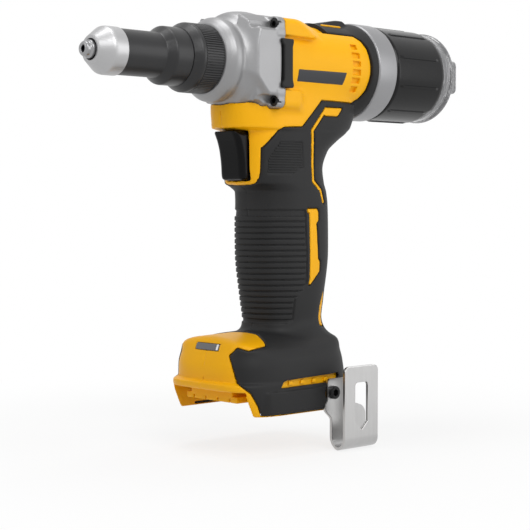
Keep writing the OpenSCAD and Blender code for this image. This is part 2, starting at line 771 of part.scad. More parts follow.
module trigger() {
    arc_r = 0.62 * trigger_h;
    arc_s = trigger_front_s + 4.2 - arc_r;
    arc_z = (trigger_top_z + trigger_bottom_z) / 2 - 0.6;
    color("black") {
        difference() {
            side_plate([[trigger_front_s, trigger_top_z], [trigger_back_s, trigger_top_z],
                [trigger_back_s, trigger_bottom_z], [trigger_front_s + 2.2, trigger_bottom_z]], trigger_w);
            cross_bar(arc_s, arc_z, -trigger_w, trigger_w, arc_r);
        }
        translate([0, 0, (trigger_top_z + trigger_bottom_z) / 2]) rod(trigger_back_s - 1, trigger_back_s + stem_l, stem_r);
    }
}

module switch_case(gap) {
    block(pocket_end_s - gap, pocket_end_s + switch_l + gap, -switch_half - gap, switch_half + gap,
        trigger_bottom_z - gap, trigger_top_z + gap);
}

module trigger_switch() {
    color("black") difference() {
        switch_case(0);
        translate([0, 0, (trigger_top_z + trigger_bottom_z) / 2])
            rod(pocket_end_s - 1, trigger_back_s + stem_l + trigger_travel + 1, stem_r + free_gap);
    }
}

// Electronics in the foot

control_s = grip_s - 24;
control_l = 44.5;
control_half = 22;
control_h = 9;

module control_case(gap) {
    block(control_s - gap, control_s + control_l + gap, -control_half - gap, control_half + gap,
        bay_top_z + 2, bay_top_z + 2 + control_h + gap);
}

module control_module() {
    color("darkgreen") difference() {
        control_case(0);
        for (i = [0:4]) block(control_s + 6 + 7 * i, control_s + 9 + 7 * i, -control_half + 4, control_half - 4,
            bay_top_z + control_h - 1, bay_top_z + control_h + 3);
    }
}

// Rails that the pack slides on, with a well for the contacts
rail_h = 8;
rail_neck_h = 4;
rail_neck = 15.5;
rail_half = 19;
rail_back = 8;
rail_low_z = bay_top_z - rail_h;
well_s = bay_end_s - 0.68 * bay_l;
well_l = 0.38 * bay_l;
well_half = 13;
well_top_z = bay_top_z - 0.3 * rail_h;
blades = 5;
blade_t = 0.8;
blade_pitch = 5;
blade_end_gap = 4;

module battery_rail_block() {
    neck_z = bay_top_z - rail_neck_h;
    color("gold") difference() {
        translate([-bay_end_s, 0, 0]) rotate([90, 0, 90]) linear_extrude(bay_l - rail_back)
            polygon([[-rail_neck, bay_top_z], [rail_neck, bay_top_z], [rail_neck, neck_z], [rail_half, neck_z],
                [rail_half, rail_low_z], [-rail_half, rail_low_z], [-rail_half, neck_z], [-rail_neck, neck_z]]);
        block(well_s, well_s + well_l, -well_half, well_half, rail_low_z - 1, well_top_z);
    }
}

module contact_blades() {
    color("orange") for (i = [0:blades - 1]) let (y = blade_pitch * (i - (blades - 1) / 2))
        block(well_s + blade_end_gap, well_s + well_l - blade_end_gap, y - blade_t / 2, y + blade_t / 2,
            rail_low_z, well_top_z);
}

// Lamp on the sloped face at the front of the foot

led_s = foot_front_s + 2.5;
led_z = foot_z - 6;
led_half = 9;

module led_place() {
    translate([-led_s, 0, led_z]) rotate([0, 48, 0]) children();
}

module led_pocket() {
    led_place() translate([-2.6, -1, -8]) cube([5.2, led_half + 1.05, 20]);
}

module led_lens() {
    color("white") led_place() translate([-2.6, -led_half, -2]) cube([5.2, 2 * led_half, 2.6]);
}

module led_board() {
    color("darkgreen") led_place() translate([-2.6, -led_half, -3.6]) cube([5.2, 2 * led_half, 1.6]);
}

// Belt hook

module belt_hook() {
    bend_in = hook_bend_r - hook_t;
    color("silver") difference() {
        union() {
            block(hook_front_s, hook_rear_s, hook_y, hook_y + hook_t, hook_bend_z, hook_tab_top_z);
            block(hook_front_s, hook_rear_s, hook_out_y, hook_out_y + hook_t, hook_bend_z, hook_top_z);
            intersection() {
                translate([0, hook_bend_y, hook_bend_z]) difference() {
                    rod(hook_front_s, hook_rear_s, hook_bend_r);
                    rod(hook_front_s - 1, hook_rear_s + 1, bend_in);
                }
                block(hook_front_s, hook_rear_s, hook_y, hook_out_y + hook_t, hook_bend_z - hook_bend_r, hook_bend_z);
            }
        }
        block(hook_front_s + hook_tab_w, hook_rear_s + 1, hook_y - 1, hook_y + hook_t + 1, bottom_z - 4, hook_tab_top_z + 1);
        cross_bar(hook_screw_s, hook_screw_z, hook_y - 1, hook_y + hook_t + 1, hook_screw_r + seat_gap);
        side_plate_at([[hook_front_s + (hook_w - slot_w) / 2, hook_top_z - 6], [hook_front_s + (hook_w + slot_w) / 2, hook_top_z - 6],
            [hook_front_s + (hook_w + slot_w) / 2, hook_top_z - 6 - slot_h],
            [hook_front_s + hook_w / 2, hook_top_z - 9 - slot_h],
            [hook_front_s + (hook_w - slot_w) / 2, hook_top_z - 6 - slot_h]], hook_out_y - 1, hook_out_y + hook_t + 1);
    }
}

// Threaded inserts for the hook's screw, one in each side of the foot
module hook_inserts() {
    color("goldenrod") for (side = [0, 1]) mirror([0, side, 0]) difference() {
        cross_bar(hook_screw_s, hook_screw_z, bay_half, foot_half, insert_r);
        cross_bar(hook_screw_s, hook_screw_z, bay_half - 1, foot_half + 1, hook_screw_r);
    }
}

module belt_hook_screw() {
    color("black") difference() {
        union() {
            cross_bar(hook_screw_s, hook_screw_z, hook_y + hook_t, hook_y + hook_t + hook_head_l, hook_head_r);
            cross_bar(hook_screw_s, hook_screw_z, bay_half + 0.5, hook_y + hook_t + 0.5, hook_screw_r - seat_gap);
        }
        translate([-hook_screw_s, hook_y + hook_t + 0.8, hook_screw_z]) rotate([-90, 0, 0]) cylinder(r = 1.7, h = 4, $fn = 6);
    }
}

// Gear train

module thrust_bearing() {
    race_r = chamber_r - 3;
    color("silver") {
        collar(front_wall_s, front_wall_s + 1.3, race_r, spindle_r + 1);
        collar(front_wall_s + 1.3, front_wall_s + thrust_l, race_r - 0.6, spindle_r + 1.6);
    }
}

module spindle_nut() {
    color("silver") collar(nut_s, plate_s, chamber_r - 4, spindle_r + run_gap);
}

module planet_carrier() {
    color("gray") {
        collar(plate_s, plate_s + plate_l, carrier_r + 3, spindle_r + free_gap);
        for (i = [0:planets - 1]) rotate([360 * i / planets, 0, 0])
            translate([0, 0, carrier_r]) rod(plate_s + plate_l - 1, gears_end, planet_pin_r);
    }
}

module planet_gear(i) {
    color("gray") rotate([360 * i / planets, 0, 0]) translate([0, 0, carrier_r]) on_axis(gears_s) difference() {
        linear_extrude(gear_face) rotate(180 / planet_teeth)
            gear_outline(planet_teeth, stub, foot_of_tooth, tooth_play);
        translate([0, 0, -1]) cylinder(r = planet_pin_r + run_gap, h = gear_face + 2);
    }
}

module planet_gear_1() {
    planet_gear(0);
}

module planet_gear_2() {
    planet_gear(1);
}

module planet_gear_3() {
    planet_gear(2);
}

module ring_gear() {
    color("gray") on_axis(gears_s) difference() {
        cylinder(r = ring_out_r, h = gear_face);
        translate([0, 0, -1]) linear_extrude(gear_face + 2) rotate(180 / ring_teeth)
            gear_outline(ring_teeth, foot_of_tooth, stub, -tooth_play);
    }
}

module sun_gear() {
    color("gray") on_axis(gears_s) difference() {
        linear_extrude(gear_face) gear_outline(sun_teeth, stub, foot_of_tooth, tooth_play);
        translate([0, 0, -1]) cylinder(r = shaft_bore_r, h = gear_face + 2);
    }
}

// Motor

module rotor_shaft() {
    color("lightgray") collar(gears_end, shaft_end, shaft_r, shaft_bore_r);
}

module rotor_core() {
    color("dimgray") collar(rotor_s, rotor_s + rotor_l, rotor_r, shaft_r);
}

module motor_fan() {
    blades = 11;
    color("black") {
        collar(fan_s, fan_s + fan_l, shaft_r + 2, shaft_r);
        collar(fan_s, fan_s + 1.2, fan_r, shaft_r + 1);
        for (i = [0:blades - 1]) rotate([360 * i / blades, 0, 0])
            block(fan_s + 1, fan_s + fan_l, -0.6, 0.6, shaft_r + 1, fan_r);
    }
}

module stator_core() {
    color("dimgray") on_axis(stator_s) linear_extrude(stator_l) {
        difference() {
            circle(rear_spigot_r);
            circle(rear_spigot_r - yoke_t);
        }
        for (i = [0:stator_slots - 1]) rotate(360 * i / stator_slots) {
            translate([stator_in_r + 1, -1.3]) square([rear_spigot_r - yoke_t - stator_in_r, 2.6]);
            intersection() {
                difference() {
                    circle(stator_in_r + 1.2);
                    circle(stator_in_r);
                }
                translate([0, -3]) square([rear_spigot_r, 6]);
            }
        }
    }
}

module stator_windings() {
    coil_in = stator_in_r + 1.3;
    coil_l = rear_spigot_r - yoke_t - coil_in - 0.2;
    color("orange") for (i = [0:stator_slots - 1]) rotate([360 * i / stator_slots, 0, 0]) difference() {
        block(stator_s - 1.4, stator_s + stator_l + 1.4, -2.7, 2.7, coil_in, coil_in + coil_l);
        block(stator_s - 0.02, stator_s + stator_l + 0.02, -1.32, 1.32, coil_in - 1, coil_in + coil_l + 1);
    }
}

module bearing_plate() {
    color("gray") collar(bearing_plate_s, bearing_plate_s + plate_w, rear_spigot_r, bearing_r + seat_gap);
}

module ball_bearing(s) {
    color("silver") turned([[shaft_r + run_gap, s], [bearing_r, s], [bearing_r, s + bearing_w], [bearing_r - 1.4, s + bearing_w],
        [bearing_r - 1.6, s + bearing_w - 0.6], [shaft_r + 1.6, s + bearing_w - 0.6], [shaft_r + 1.4, s + bearing_w],
        [shaft_r + run_gap, s + bearing_w]]);
}

module front_bearing() {
    ball_bearing(bearing_plate_s + 0.25);
}

module rear_bearing() {
    ball_bearing(rear_bearing_s);
}

// Spindle, jaws and what guides them

module pull_spindle() {
    wide_s = tube_s - stroke - 4;
    color("lightgray") difference() {
        union() {
            rod(plug_s, case_s + case_l, taper_r - seat_gap);
            rod(case_s + case_l - 1, spindle_end, spindle_r);
        }
        rod(plug_s - 1, spindle_end + 1, mandrel_r + 0.5);
        rod(wide_s, spindle_end + 1, tube_r + free_gap);
        block(front_wall_s - stroke - 8, front_wall_s + 2, -key_w / 2 - free_gap, key_w / 2 + free_gap,
            -spindle_r - 1, -spindle_r + key_depth);
    }
}

module jaw_case() {
    color("gray") turned([[taper_mouth_r, case_s], [jaw_case_r - 1.2, case_s], [jaw_case_r, case_s + 1.2],
        [jaw_case_r, case_s + case_l], [taper_r, case_s + case_l], [taper_r, case_s + taper_l],
        [taper_mouth_r, case_s + 0.6]]);
}

module jaws() {
    slope = (taper_r - taper_mouth_r) / (taper_l - 0.6);
    front_r = taper_mouth_r + slope * (jaw_s - case_s - 0.6) - seat_gap;
    color("dimgray") difference() {
        turned([[mandrel_r + 0.15, jaw_s], [front_r, jaw_s], [front_r + slope * jaw_l, jaw_s + jaw_l],
            [mandrel_r + 0.15, jaw_s + jaw_l]]);
        for (i = [0:2]) rotate([120 * i, 0, 0]) block(jaw_s - 1, jaw_s + jaw_l + 1, -0.4, 0.4, 0, 10);
    }
}

module jaw_pusher() {
    color("gray") collar(pusher_s, pusher_s + pusher_l, taper_r - 1.2, mandrel_r + 0.4);
}

module jaw_spring() {
    color("silver") collar(pusher_s + pusher_l, plug_s, taper_r - 1.4, taper_r - 2.4);
}

module guide_key_slot(gap) {
    block(front_wall_s - 6 - gap, front_wall_s - seat_gap + gap, -key_w / 2 - gap, key_w / 2 + gap, -nose_bore_r - 3, -spindle_r + key_depth - free_gap);
}

module guide_key() {
    color("gray") guide_key_slot(0);
}

module mandrel_tube() {
    color("silver") collar(tube_s, tube_end, tube_r, tube_bore_r);
}

nosepiece();
nose_cone();
nose_sleeve();
locking_collar();
gear_housing();
gear_housing_screws();
housing_left();
housing_right();
grip_rubber_left();
grip_rubber_right();
side_bumpers();
rear_bumper();
rear_band();
collection_cup();
cup_end_cap();
trigger();
trigger_switch();
led_lens();
led_board();
belt_hook();
belt_hook_screw();
hook_inserts();
housing_screws();
battery_rail_block();
contact_blades();
control_module();
thrust_bearing();
ring_gear();
planet_carrier();
spindle_nut();
planet_gear_1();
planet_gear_2();
planet_gear_3();
sun_gear();
rotor_shaft();
rotor_core();
motor_fan();
stator_core();
stator_windings();
bearing_plate();
front_bearing();
rear_bearing();
pull_spindle();
jaw_case();
jaws();
jaw_pusher();
jaw_spring();
guide_key();
mandrel_tube();
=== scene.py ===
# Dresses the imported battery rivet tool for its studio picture.
# Sizes are in millimetres in the part's own frame: a station s is a distance behind the nosepiece's
# tip, so s = -x, and y and z are the frame's own. Meshes are made in metres at the very end.

import json
import math

import bmesh
import bpy
import numpy as np
import openvdb
from mathutils import Matrix, Vector


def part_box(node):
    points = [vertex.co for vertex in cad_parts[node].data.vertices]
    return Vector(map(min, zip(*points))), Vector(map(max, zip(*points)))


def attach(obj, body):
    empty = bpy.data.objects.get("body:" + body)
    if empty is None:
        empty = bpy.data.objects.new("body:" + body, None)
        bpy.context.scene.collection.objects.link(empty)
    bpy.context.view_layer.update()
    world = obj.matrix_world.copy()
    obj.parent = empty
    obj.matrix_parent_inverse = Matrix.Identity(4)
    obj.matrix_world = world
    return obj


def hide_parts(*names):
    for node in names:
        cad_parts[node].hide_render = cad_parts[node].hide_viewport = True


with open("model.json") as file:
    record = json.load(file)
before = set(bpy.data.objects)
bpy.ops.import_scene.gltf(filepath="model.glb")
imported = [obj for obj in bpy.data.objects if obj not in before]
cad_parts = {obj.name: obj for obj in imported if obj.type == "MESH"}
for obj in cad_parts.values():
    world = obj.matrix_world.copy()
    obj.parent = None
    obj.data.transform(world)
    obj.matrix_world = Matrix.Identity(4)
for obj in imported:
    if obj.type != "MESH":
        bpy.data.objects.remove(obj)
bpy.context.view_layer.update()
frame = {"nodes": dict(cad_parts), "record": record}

MM = 0.001


def front(node):
    """Station of a CAD node's front end."""
    return round(-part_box(node)[1][0] / MM, 2)


def rear(node):
    """Station of a CAD node's rear end."""
    return round(-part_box(node)[0][0] / MM, 2)


# Stations that the frame gives, from the nose to the rear
TWIST_BAR_L, CUP_GAP, SWITCH_GAP = 8.0, 0.2, 0.2
CONE_S, SLEEVE_S = front("nose_cone"), rear("nose_cone")
LOCK_S, GEAR_S = front("locking_collar"), rear("locking_collar")
BAND_S = front("rear_band")
CUP_S, CAP_S = front("collection_cup") - CUP_GAP, rear("collection_cup")
END_S = rear("cup_end_cap") - TWIST_BAR_L
BAY_END_S = rear("battery_rail_block")
SWITCH_END_S = rear("trigger_switch") + SWITCH_GAP
INSERT_S = (front("hook_inserts") + rear("hook_inserts")) / 2

# Stations, heights and sizes read from the photograph, or chosen to clear what the frame holds
COLLAR_S, SEAM_S, GRIP_S = 41.8, 106.0, 127.0
BARREL_R, MOTOR_ROOM_R = 23.5, 20.0
EAR_S, EAR_Y, EAR_UP, EAR_DOWN, EAR_R, EAR_HOLE_R = 100.9, 21.2, 17.9, -19.9, 3.8, 2.8
FLAT_Y = 24.4
BAY_Z, BAY_HALF, BOTTOM_Z = -163.0, 27.0, -175.4
RUBBER_T, SEAT_GAP = 1.8, 0.15
CASE_SCREWS, CASE_WELL_R, CASE_WELL_Y = ((141, -42), (139, -73.5), (127, -124.5), (145, -146.5)), 3.3, 9.0
HOOK_SCREW, HOOK_HOLE_R = (129.8, -166.5), 5.0

# Mesh steps of the rubber and of the plastic shells
SKIN_STEP, SHELL_STEP = ((0.62, 0.68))


# Fields: distances in millimetres, below zero inside

def soft_min(a, b, k):
    """Union of two fields with a fillet of about k."""
    h = np.clip(0.5 + 0.5 * (b - a) / k, 0, 1)
    return b + (a - b) * h - k * h * (1 - h)


def soft_max(a, b, k):
    """Overlap of two fields with a rounded edge of about k."""
    return -soft_min(-a, -b, k)


def ramp(x, low, high):
    """0 before low, 1 after high, smooth between."""
    t = np.clip((x - low) / (high - low), 0, 1)
    return t * t * (3 - 2 * t)


def oval(u, v, a, b, p):
    """Distance to a superellipse of half sizes a and b and squareness p, measured along the radius."""
    r = np.sqrt(u * u + v * v) + 1e-9
    g = (np.abs(u / a) ** p + np.abs(v / b) ** p) ** (1 / p) + 1e-9
    return r - r / g


def slab(u, low, high):
    """Distance to the space between two planes."""
    return np.maximum(low - u, u - high)


def rod(s, y, z, s0, s1, cy, cz, r):
    """A rod along the barrel."""
    return np.maximum(np.hypot(y - cy, z - cz) - r, slab(s, s0, s1))


def flow(xs, ys):
    """A curve through points that never overshoots them."""
    xs, ys = np.array(xs, float), np.array(ys, float)
    h = np.diff(xs)
    d = np.diff(ys) / h
    between = np.where(d[1:] * d[:-1] > 0, 2 * d[1:] * d[:-1] / (d[1:] + d[:-1] + 1e-12), 0)
    m = np.r_[d[0], between, d[-1]]

    def at(x):
        i = np.clip(np.searchsorted(xs, x) - 1, 0, len(h) - 1)
        t = np.clip((x - xs[i]) / h[i], 0, 1)
        return ((1 + 2 * t) * (1 - t) ** 2 * ys[i] + t * (1 - t) ** 2 * h[i] * m[i]
                + t * t * (3 - 2 * t) * ys[i + 1] + t * t * (t - 1) * h[i] * m[i + 1])
    return at


def curves(rows):
    """One curve for each column of rows that rise by their first value."""
    keys = [row[0] for row in rows]
    return [flow(keys, [row[k] for row in rows]) for k in range(1, len(rows[0]))]


def edge_distance(start, end, s, z):
    """Squared distance to a straight edge between two points of station and height."""
    es, ez = end[0] - start[0], end[1] - start[1]
    ws, wz = s - start[0], z - start[1]
    t = np.clip((ws * es + wz * ez) / (es * es + ez * ez), 0, 1)
    return (ws - es * t) ** 2 + (wz - ez * t) ** 2


def outline_distance(outline, s, z):
    """Distance to a closed outline of stations and heights, below zero inside it."""
    near = np.full(np.broadcast(s, z).shape, 1e9)
    inside = np.zeros(near.shape, bool)
    for a, b in zip(outline, outline[1:] + outline[:1]):
        near = np.minimum(near, edge_distance(a, b, s, z))
        if a[1] != b[1]:
            crosses = (a[1] > z) != (b[1] > z)
            inside ^= crosses & (s < (b[0] - a[0]) * (z - a[1]) / (b[1] - a[1]) + a[0])
    return np.sqrt(near) * np.where(inside, -1, 1)


def path_distance(path, half, s, z):
    """Distance to a line of the given half width along points of station and height."""
    near = np.full(np.broadcast(s, z).shape, 1e9)
    for a, b in zip(path, path[1:]):
        near = np.minimum(near, edge_distance(a, b, s, z))
    return np.sqrt(near) - half


class SideMap:
    """A field of two coordinates only, kept as a fine table."""
    CELL = 0.25

    def __init__(self, make, low=(50.0, -185.0), high=(190.0, 40.0)):
        self.low = low
        s, z = (np.arange(a, b, self.CELL) for a, b in zip(low, high))
        self.table = make(s[:, None], z[None, :])

    def __call__(self, s, z):
        rows, columns = self.table.shape
        a = np.clip((s - self.low[0]) / self.CELL, 0, rows - 1.001)
        b = np.clip((z - self.low[1]) / self.CELL, 0, columns - 1.001)
        i, j = a.astype(int), b.astype(int)
        u, v = a - i, b - j
        t = self.table
        lower = t[i, j] * (1 - u) + t[i + 1, j] * u
        upper = t[i, j + 1] * (1 - u) + t[i + 1, j + 1] * u
        return lower * (1 - v) + upper * v


def outline_map(outline, *limits):
    """The distance to an outline, kept as a table."""
    return SideMap(lambda s, z: outline_distance(outline, s, z), *limits)


# The moulded body: one envelope for the yellow plastic and the rubber together

# Station, half width, half height and squareness of the barrel
BARREL_ROWS = ((106, 24.3, 24.3, 2.2), (110, 24.1, 24.0, 2.15), (116, 23.8, 23.7, 2.1),
               (124, 23.6, 23.5, 2.0), (134, 23.5, 23.4, 2.0), (178, 23.4, 23.4, 2.0))
barrel_w, barrel_h, barrel_p = curves(BARREL_ROWS)

# Height, reach to the front and to the rear, half width and squareness of the grip
GRIP_ROWS = ((-6, 42.6, 40, 19.6, 2.7), (-18, 42.6, 43.2, 20.3, 2.7), (-24, 42.6, 45.2, 20.5, 2.7),
             (-30.6, 42.3, 43.1, 20.5, 2.6), (-32.8, 42.0, 40.7, 20.4, 2.6), (-34.6, 34.0, 37.9, 20.3, 2.6),
             (-38, 33.6, 32.0, 20.2, 2.6), (-44, 33.3, 24.2, 19.9, 2.6), (-53, 33.0, 20.5, 19.6, 2.6),
             (-60.5, 31.6, 21.7, 19.5, 2.6), (-62.6, 27.4, 22.2, 19.5, 2.6), (-65.0, 24.2, 22.8, 19.5, 2.6),
             (-70.5, 24.0, 23.8, 19.5, 2.6), (-80.5, 24.8, 24.4, 19.5, 2.6), (-95.3, 24.7, 24.6, 19.4, 2.6),
             (-120.0, 21.9, 21.7, 17.9, 2.6), (-131.0, 20.5, 20.5, 17.0, 2.6),
             (-150.0, 20.5, 20.5, 17.0, 2.6))
GRIP = curves(GRIP_ROWS[::-1])
GRIP_LOW, GRIP_HIGH = GRIP_ROWS[-1][0], GRIP_ROWS[0][0]

# The same for the walls of the foot
FOOT_ROWS = ((-130, 53.9, 24.4, 30.8, 3.0), (-144.0, 54.1, 24.7, 31.2, 3.1),
             (-151.0, 54.7, 25.2, 32.5, 3.3), (-158.3, 54.1, 25.3, 33.2, 3.5),
             (-159.9, 56.7, 25.3, 33.2, 3.8), (-163.9, 55.0, 25.3, 33.2, 4.4),
             (-170.0, 51.2, 25.3, 33.1, 5.2), (-177.0, 47.4, 25.3, 32.8, 5.6))
FOOT = curves(FOOT_ROWS[::-1])

# The foot's slopes: how far each faces outward and upward, and where it meets the walls
SOFT_OUT, SOFT_UP, BESIDE_Z, BEHIND_Z = 0.63, 0.777, -145.2, -144.6
LAMP_OUT, LAMP_UP, LAMP_SLOPE_S, LAMP_SLOPE_Z = 0.921, 0.389, 74.0, -146.0
# Its top: the height at a station, the rise behind that, and the crown across
FOOT_TOP_Z, FOOT_TOP_S, FOOT_TOP_RISE, FOOT_CROWN = -136.6, 95, 0.03, 170
# The fillet between grip and foot is twice as wide at its rear end
FOOT_FILLET, FILLET_FRONT_S, FILLET_REAR_S = 4.0, 104, 130


def row_field(s, y, z, row_curves):
    """Distance to a post whose section follows curves of height."""
    reach_front, reach_rear, half, p = (curve(z) for curve in row_curves)
    middle = GRIP_S + (reach_rear - reach_front) / 2
    return oval(s - middle, y, (reach_front + reach_rear) / 2, half, p)


def foot_field(s, y, z):
    """The foot: upright walls, a steep slope for the lamp, softer slopes round it, and a crowned top."""
    walls = row_field(s, y, z, FOOT)
    beside = SOFT_OUT * (np.abs(y) - FOOT[2](z)) + SOFT_UP * (z - BESIDE_Z)
    behind = SOFT_OUT * (s - GRIP_S - FOOT[1](z)) + SOFT_UP * (z - BEHIND_Z)
    lamp_slope = -LAMP_OUT * (s - LAMP_SLOPE_S) + LAMP_UP * (z - LAMP_SLOPE_Z)
    top = (z - FOOT_TOP_Z) - FOOT_TOP_RISE * (s - FOOT_TOP_S) + y * y / FOOT_CROWN
    slopes = soft_max(soft_max(lamp_slope, beside, 5.0), behind, 4.0)
    return soft_max(soft_max(soft_max(walls, slopes, 3.0), top, 3.0), BOTTOM_Z - z, 1.0)


def grip_field(s, y, z):
    """The grip and the foot, with a fillet that widens to the rear."""
    grip = soft_max(row_field(s, y, z, GRIP), slab(z, GRIP_LOW, GRIP_HIGH), 1.0)
    return soft_min(grip, foot_field(s, y, z), FOOT_FILLET * (1 + ramp(s, FILLET_FRONT_S, FILLET_REAR_S)))


# The ear block's corner, and how far it reaches below and inside its screw
EAR_CORNER, EAR_BELOW, EAR_INSIDE = 4.0, 1.5, 6.5


def ear_block(s, y, z, cz, s0, s1, grow=0.0):
    """A block with a rounded outer corner round a screw of the seam."""
    up = z * math.copysign(1, cz) - abs(cz)
    corner = soft_max(y - FLAT_Y - grow, up - EAR_R - grow, EAR_CORNER)
    inner = np.maximum(-EAR_R - EAR_BELOW - up, EAR_Y - EAR_INSIDE - y)
    return soft_max(np.maximum(corner, inner), slab(s, s0, s1), 0.8)


# Behind the screw ears the upper bosses fade out along the barrel, and the lower ones end in a slope
UPPER_BOSS_S, UPPER_BOSS_REACH, LOWER_BOSS_S, LOWER_BOSS_Y, BOSS_END_S = 118.5, 31.0, 119.0, 23.4, 136
BOSS_START_S, BOSS_SLACK, DIAGONAL = SEAM_S - 4, 0.15, 0.707


def barrel_field(s, y, z):
    """The barrel with the bosses behind the screw ears."""
    side = np.abs(y)
    d = oval(y, z, barrel_w(s), barrel_h(s), barrel_p(s))
    for cz in (EAR_UP, EAR_DOWN):
        if cz > 0:
            end = (s - UPPER_BOSS_S) * 0.44 + ((side + z) * DIAGONAL - UPPER_BOSS_REACH) * 0.9
        else:
            end = (side - LOWER_BOSS_Y) * 0.6 + (s - LOWER_BOSS_S) * 0.8
        block = ear_block(s, side, z, cz, BOSS_START_S, BOSS_END_S, -BOSS_SLACK)
        d = soft_min(d, soft_max(block, end, 2.5), 1.8)
    return d


# Station, half width, half height and squareness of the gear housing
GEAR_ROWS = ((70, 16.0, 16.0, 2), (72.9, 17.6, 17.6, 2), (75.4, 19.6, 19.6, 2), (77.6, 20.8, 20.8, 2),
             (79.6, 21.0, 21.0, 2), (81.4, 20.7, 20.7, 2), (82.8, 20.4, 20.4, 2), (84.6, 20.8, 21.5, 2),
             (87.5, 21.9, 23.8, 2.05), (91, 22.9, 24.9, 2.1), (96, 23.6, 25.3, 2.15),
             (106, 24.0, 24.3, 2.2), (110, 24.0, 24.3, 2.2))
gear_w, gear_h, gear_p = curves(GEAR_ROWS)
# Edges of the flat on its side: a station and height on each, the way out of it, and how steeply it falls
FLAT_EDGES = ((87.9, 0, -1, 0, 0.707), (87.9, -9.6, -0.931, -0.367, 0.707),
              (87.9, 7.3, -0.968, 0.252, 0.80), (92, 14.6, 0, 1, 0.80), (92, -16.8, 0, -1, 0.80),
              (93.2, -14.4, -0.74, -0.67, 0.94))
FLAT_FRONT_S, FLAT_INNER_Y = 80.5, 14
# Radius, front and rear of the rooms for the jaw case, the nut and the planet gears
GEAR_BORES = ((9.2, 60, 110), (15.0, 79.8, 110), (19.0, 98, 110))
# The webs behind the ears: their length, how far inside the screws they lie, and their share of the height
WEB_L, WEB_INSIDE, WEB_SHARE = 10, 5.0, 0.82
# The seats of the side bumpers: their front, lower and upper end, and their depth
SEAT_FRONT_S, SEAT_LOW, SEAT_HIGH, SEAT_Y = 103.2, -13.0, 10.5, 22.2
# The screw holes run from before the ears to under the heads
HOLE_BEFORE, HOLE_BEHIND = 14, 2.6


def gear_field(s, y, z):
    """The cast gear housing without its holes."""
    y = np.abs(y)
    d = oval(y, z, gear_w(s), gear_h(s), gear_p(s))
    flat = y - FLAT_Y
    for es, ez, ns, nz, steep in FLAT_EDGES:
        out = (s - es) * ns + (z - ez) * nz
        flat = soft_max(flat, steep * out + math.sqrt(1 - steep * steep) * (y - FLAT_Y), 0.8)
    d = soft_min(d, np.maximum(np.maximum(flat, FLAT_INNER_Y - y), FLAT_FRONT_S - s), 2.2)
    for cz in (EAR_UP, EAR_DOWN):
        web = rod(s, y, z, EAR_S - WEB_L, SEAM_S + 1, EAR_Y - WEB_INSIDE, cz * WEB_SHARE, EAR_R)
        d = soft_min(d, soft_min(ear_block(s, y, z, cz, EAR_S, SEAM_S + 1), web, 3.0), 1.6)
    return soft_max(d, slab(s, GEAR_S, SEAM_S), 0.6)


def gear_cast_field(s, y, z):
    """The gear housing with its screw holes, its rooms and the notches for the side bumpers."""
    d = gear_field(s, y, z)
    side = np.abs(y)
    for cz in (EAR_UP, EAR_DOWN):
        hole = rod(s, side, z, EAR_S - HOLE_BEFORE, EAR_S + HOLE_BEHIND, EAR_Y, cz, EAR_HOLE_R)
        d = soft_max(d, -hole, 0.4)
    for r, s0, s1 in GEAR_BORES:
        d = soft_max(d, -rod(s, y, z, s0, s1, 0, 0, r), 0.3)
    notch = np.maximum(np.maximum(SEAT_FRONT_S - s, slab(z, SEAT_LOW, SEAT_HIGH)), SEAT_Y - side)
    return soft_max(d, -notch, 0.4)


# Outlines on the side, as station and height

RUBBER = [(190, -18.0), (136.3, -18.0), (122.0, -32.0), (110.1, -32.6), (107.7, -34.0), (99.3, -43.4),
          (99.1, -58.0), (98.3, -61.2), (96.8, -63.4), (94.6, -65.0), (92.0, -65.5),
          (55, -65.5), (55, -200), (190, -200)]
STRIPE = [(126.6, -73.5), (133.7, -73.5), (135.1, -75.0), (135.2, -79.7), (133.7, -81.2), (135.2, -99.2),
          (136.7, -100.8), (136.7, -106.0), (130.1, -112.5), (128.4, -112.9), (129.2, -110.4),
          (128.0, -75.7), (126.6, -75.7)]
PATCH = [(139.1, -21.6), (153.3, -21.2), (148.8, -25.8), (139.2, -26.0), (136.8, -25.2)]
SLIVER = [(144.8, -115.0), (143.8, -122.0), (143.2, -130.0), (142.4, -134.8), (138.6, -134.2),
          (139.0, -130.0), (139.6, -123.2), (142.0, -118.2)]
THIN_LINE = [(139.4, -22.2), (129.4, -33.7), (131.4, -59.5), (137.2, -64.0), (139.5, -70.0)]
THIN_LINE_HALF = 0.95
SIDE_SLOT = [(95.0, -161.7), (96.6, -158.9), (99.1, -158.1), (136.2, -157.1), (137.4, -158.6),
             (134.0, -161.3)]
RIB_PANEL = [(60, -77.6), (92.2, -77.4), (100.4, -73.9), (125.2, -74.0), (127.5, -110.3), (127.1, -112.4),
             (120.0, -119.2), (119.3, -130.4), (116.5, -132.2), (60, -132.2)]
LINE_PAD = [(107.5, -40.0), (122.3, -39.6), (123.7, -53.2), (120.2, -54.2), (115.9, -56.3), (101.6, -56.3),
            (101.6, -49.0), (103.0, -46.6)]
YELLOW_END = [(100, 30.0), (131.0, 30.0), (137.5, 17.0), (163.5, 17.0), (167.0, 14.6), (168.9, 10.5),
              (169.6, 2.0), (169.6, -4.0), (168.6, -11.5), (166.4, -15.6), (163.0, -18.0), (100, -18.0)]
PLATE = [(116.3, -3.6), (151.5, -3.2), (150.0, -9.6), (116.3, -9.6)]
# The rubber's edge on the foot, drawn on a sheet that faces the front corner: across, and up
FOOT_RUBBER = [(90, -141.0), (84.5, -141.6), (75.7, -144.2), (70.2, -142.6), (66.2, -146.6), (70.2, -160.2),
               (76.7, -165.0), (80.1, -171.0), (82.0, -177.0), (200, -177.0), (200, -141.0)]
# and on its top: distance from the middle, and station
FOOT_TOP_RUBBER = ((0, 100.5), (9, 100.5), (14, 98.0), (22, 94.0), (29, 90.4), (40, 89.6))
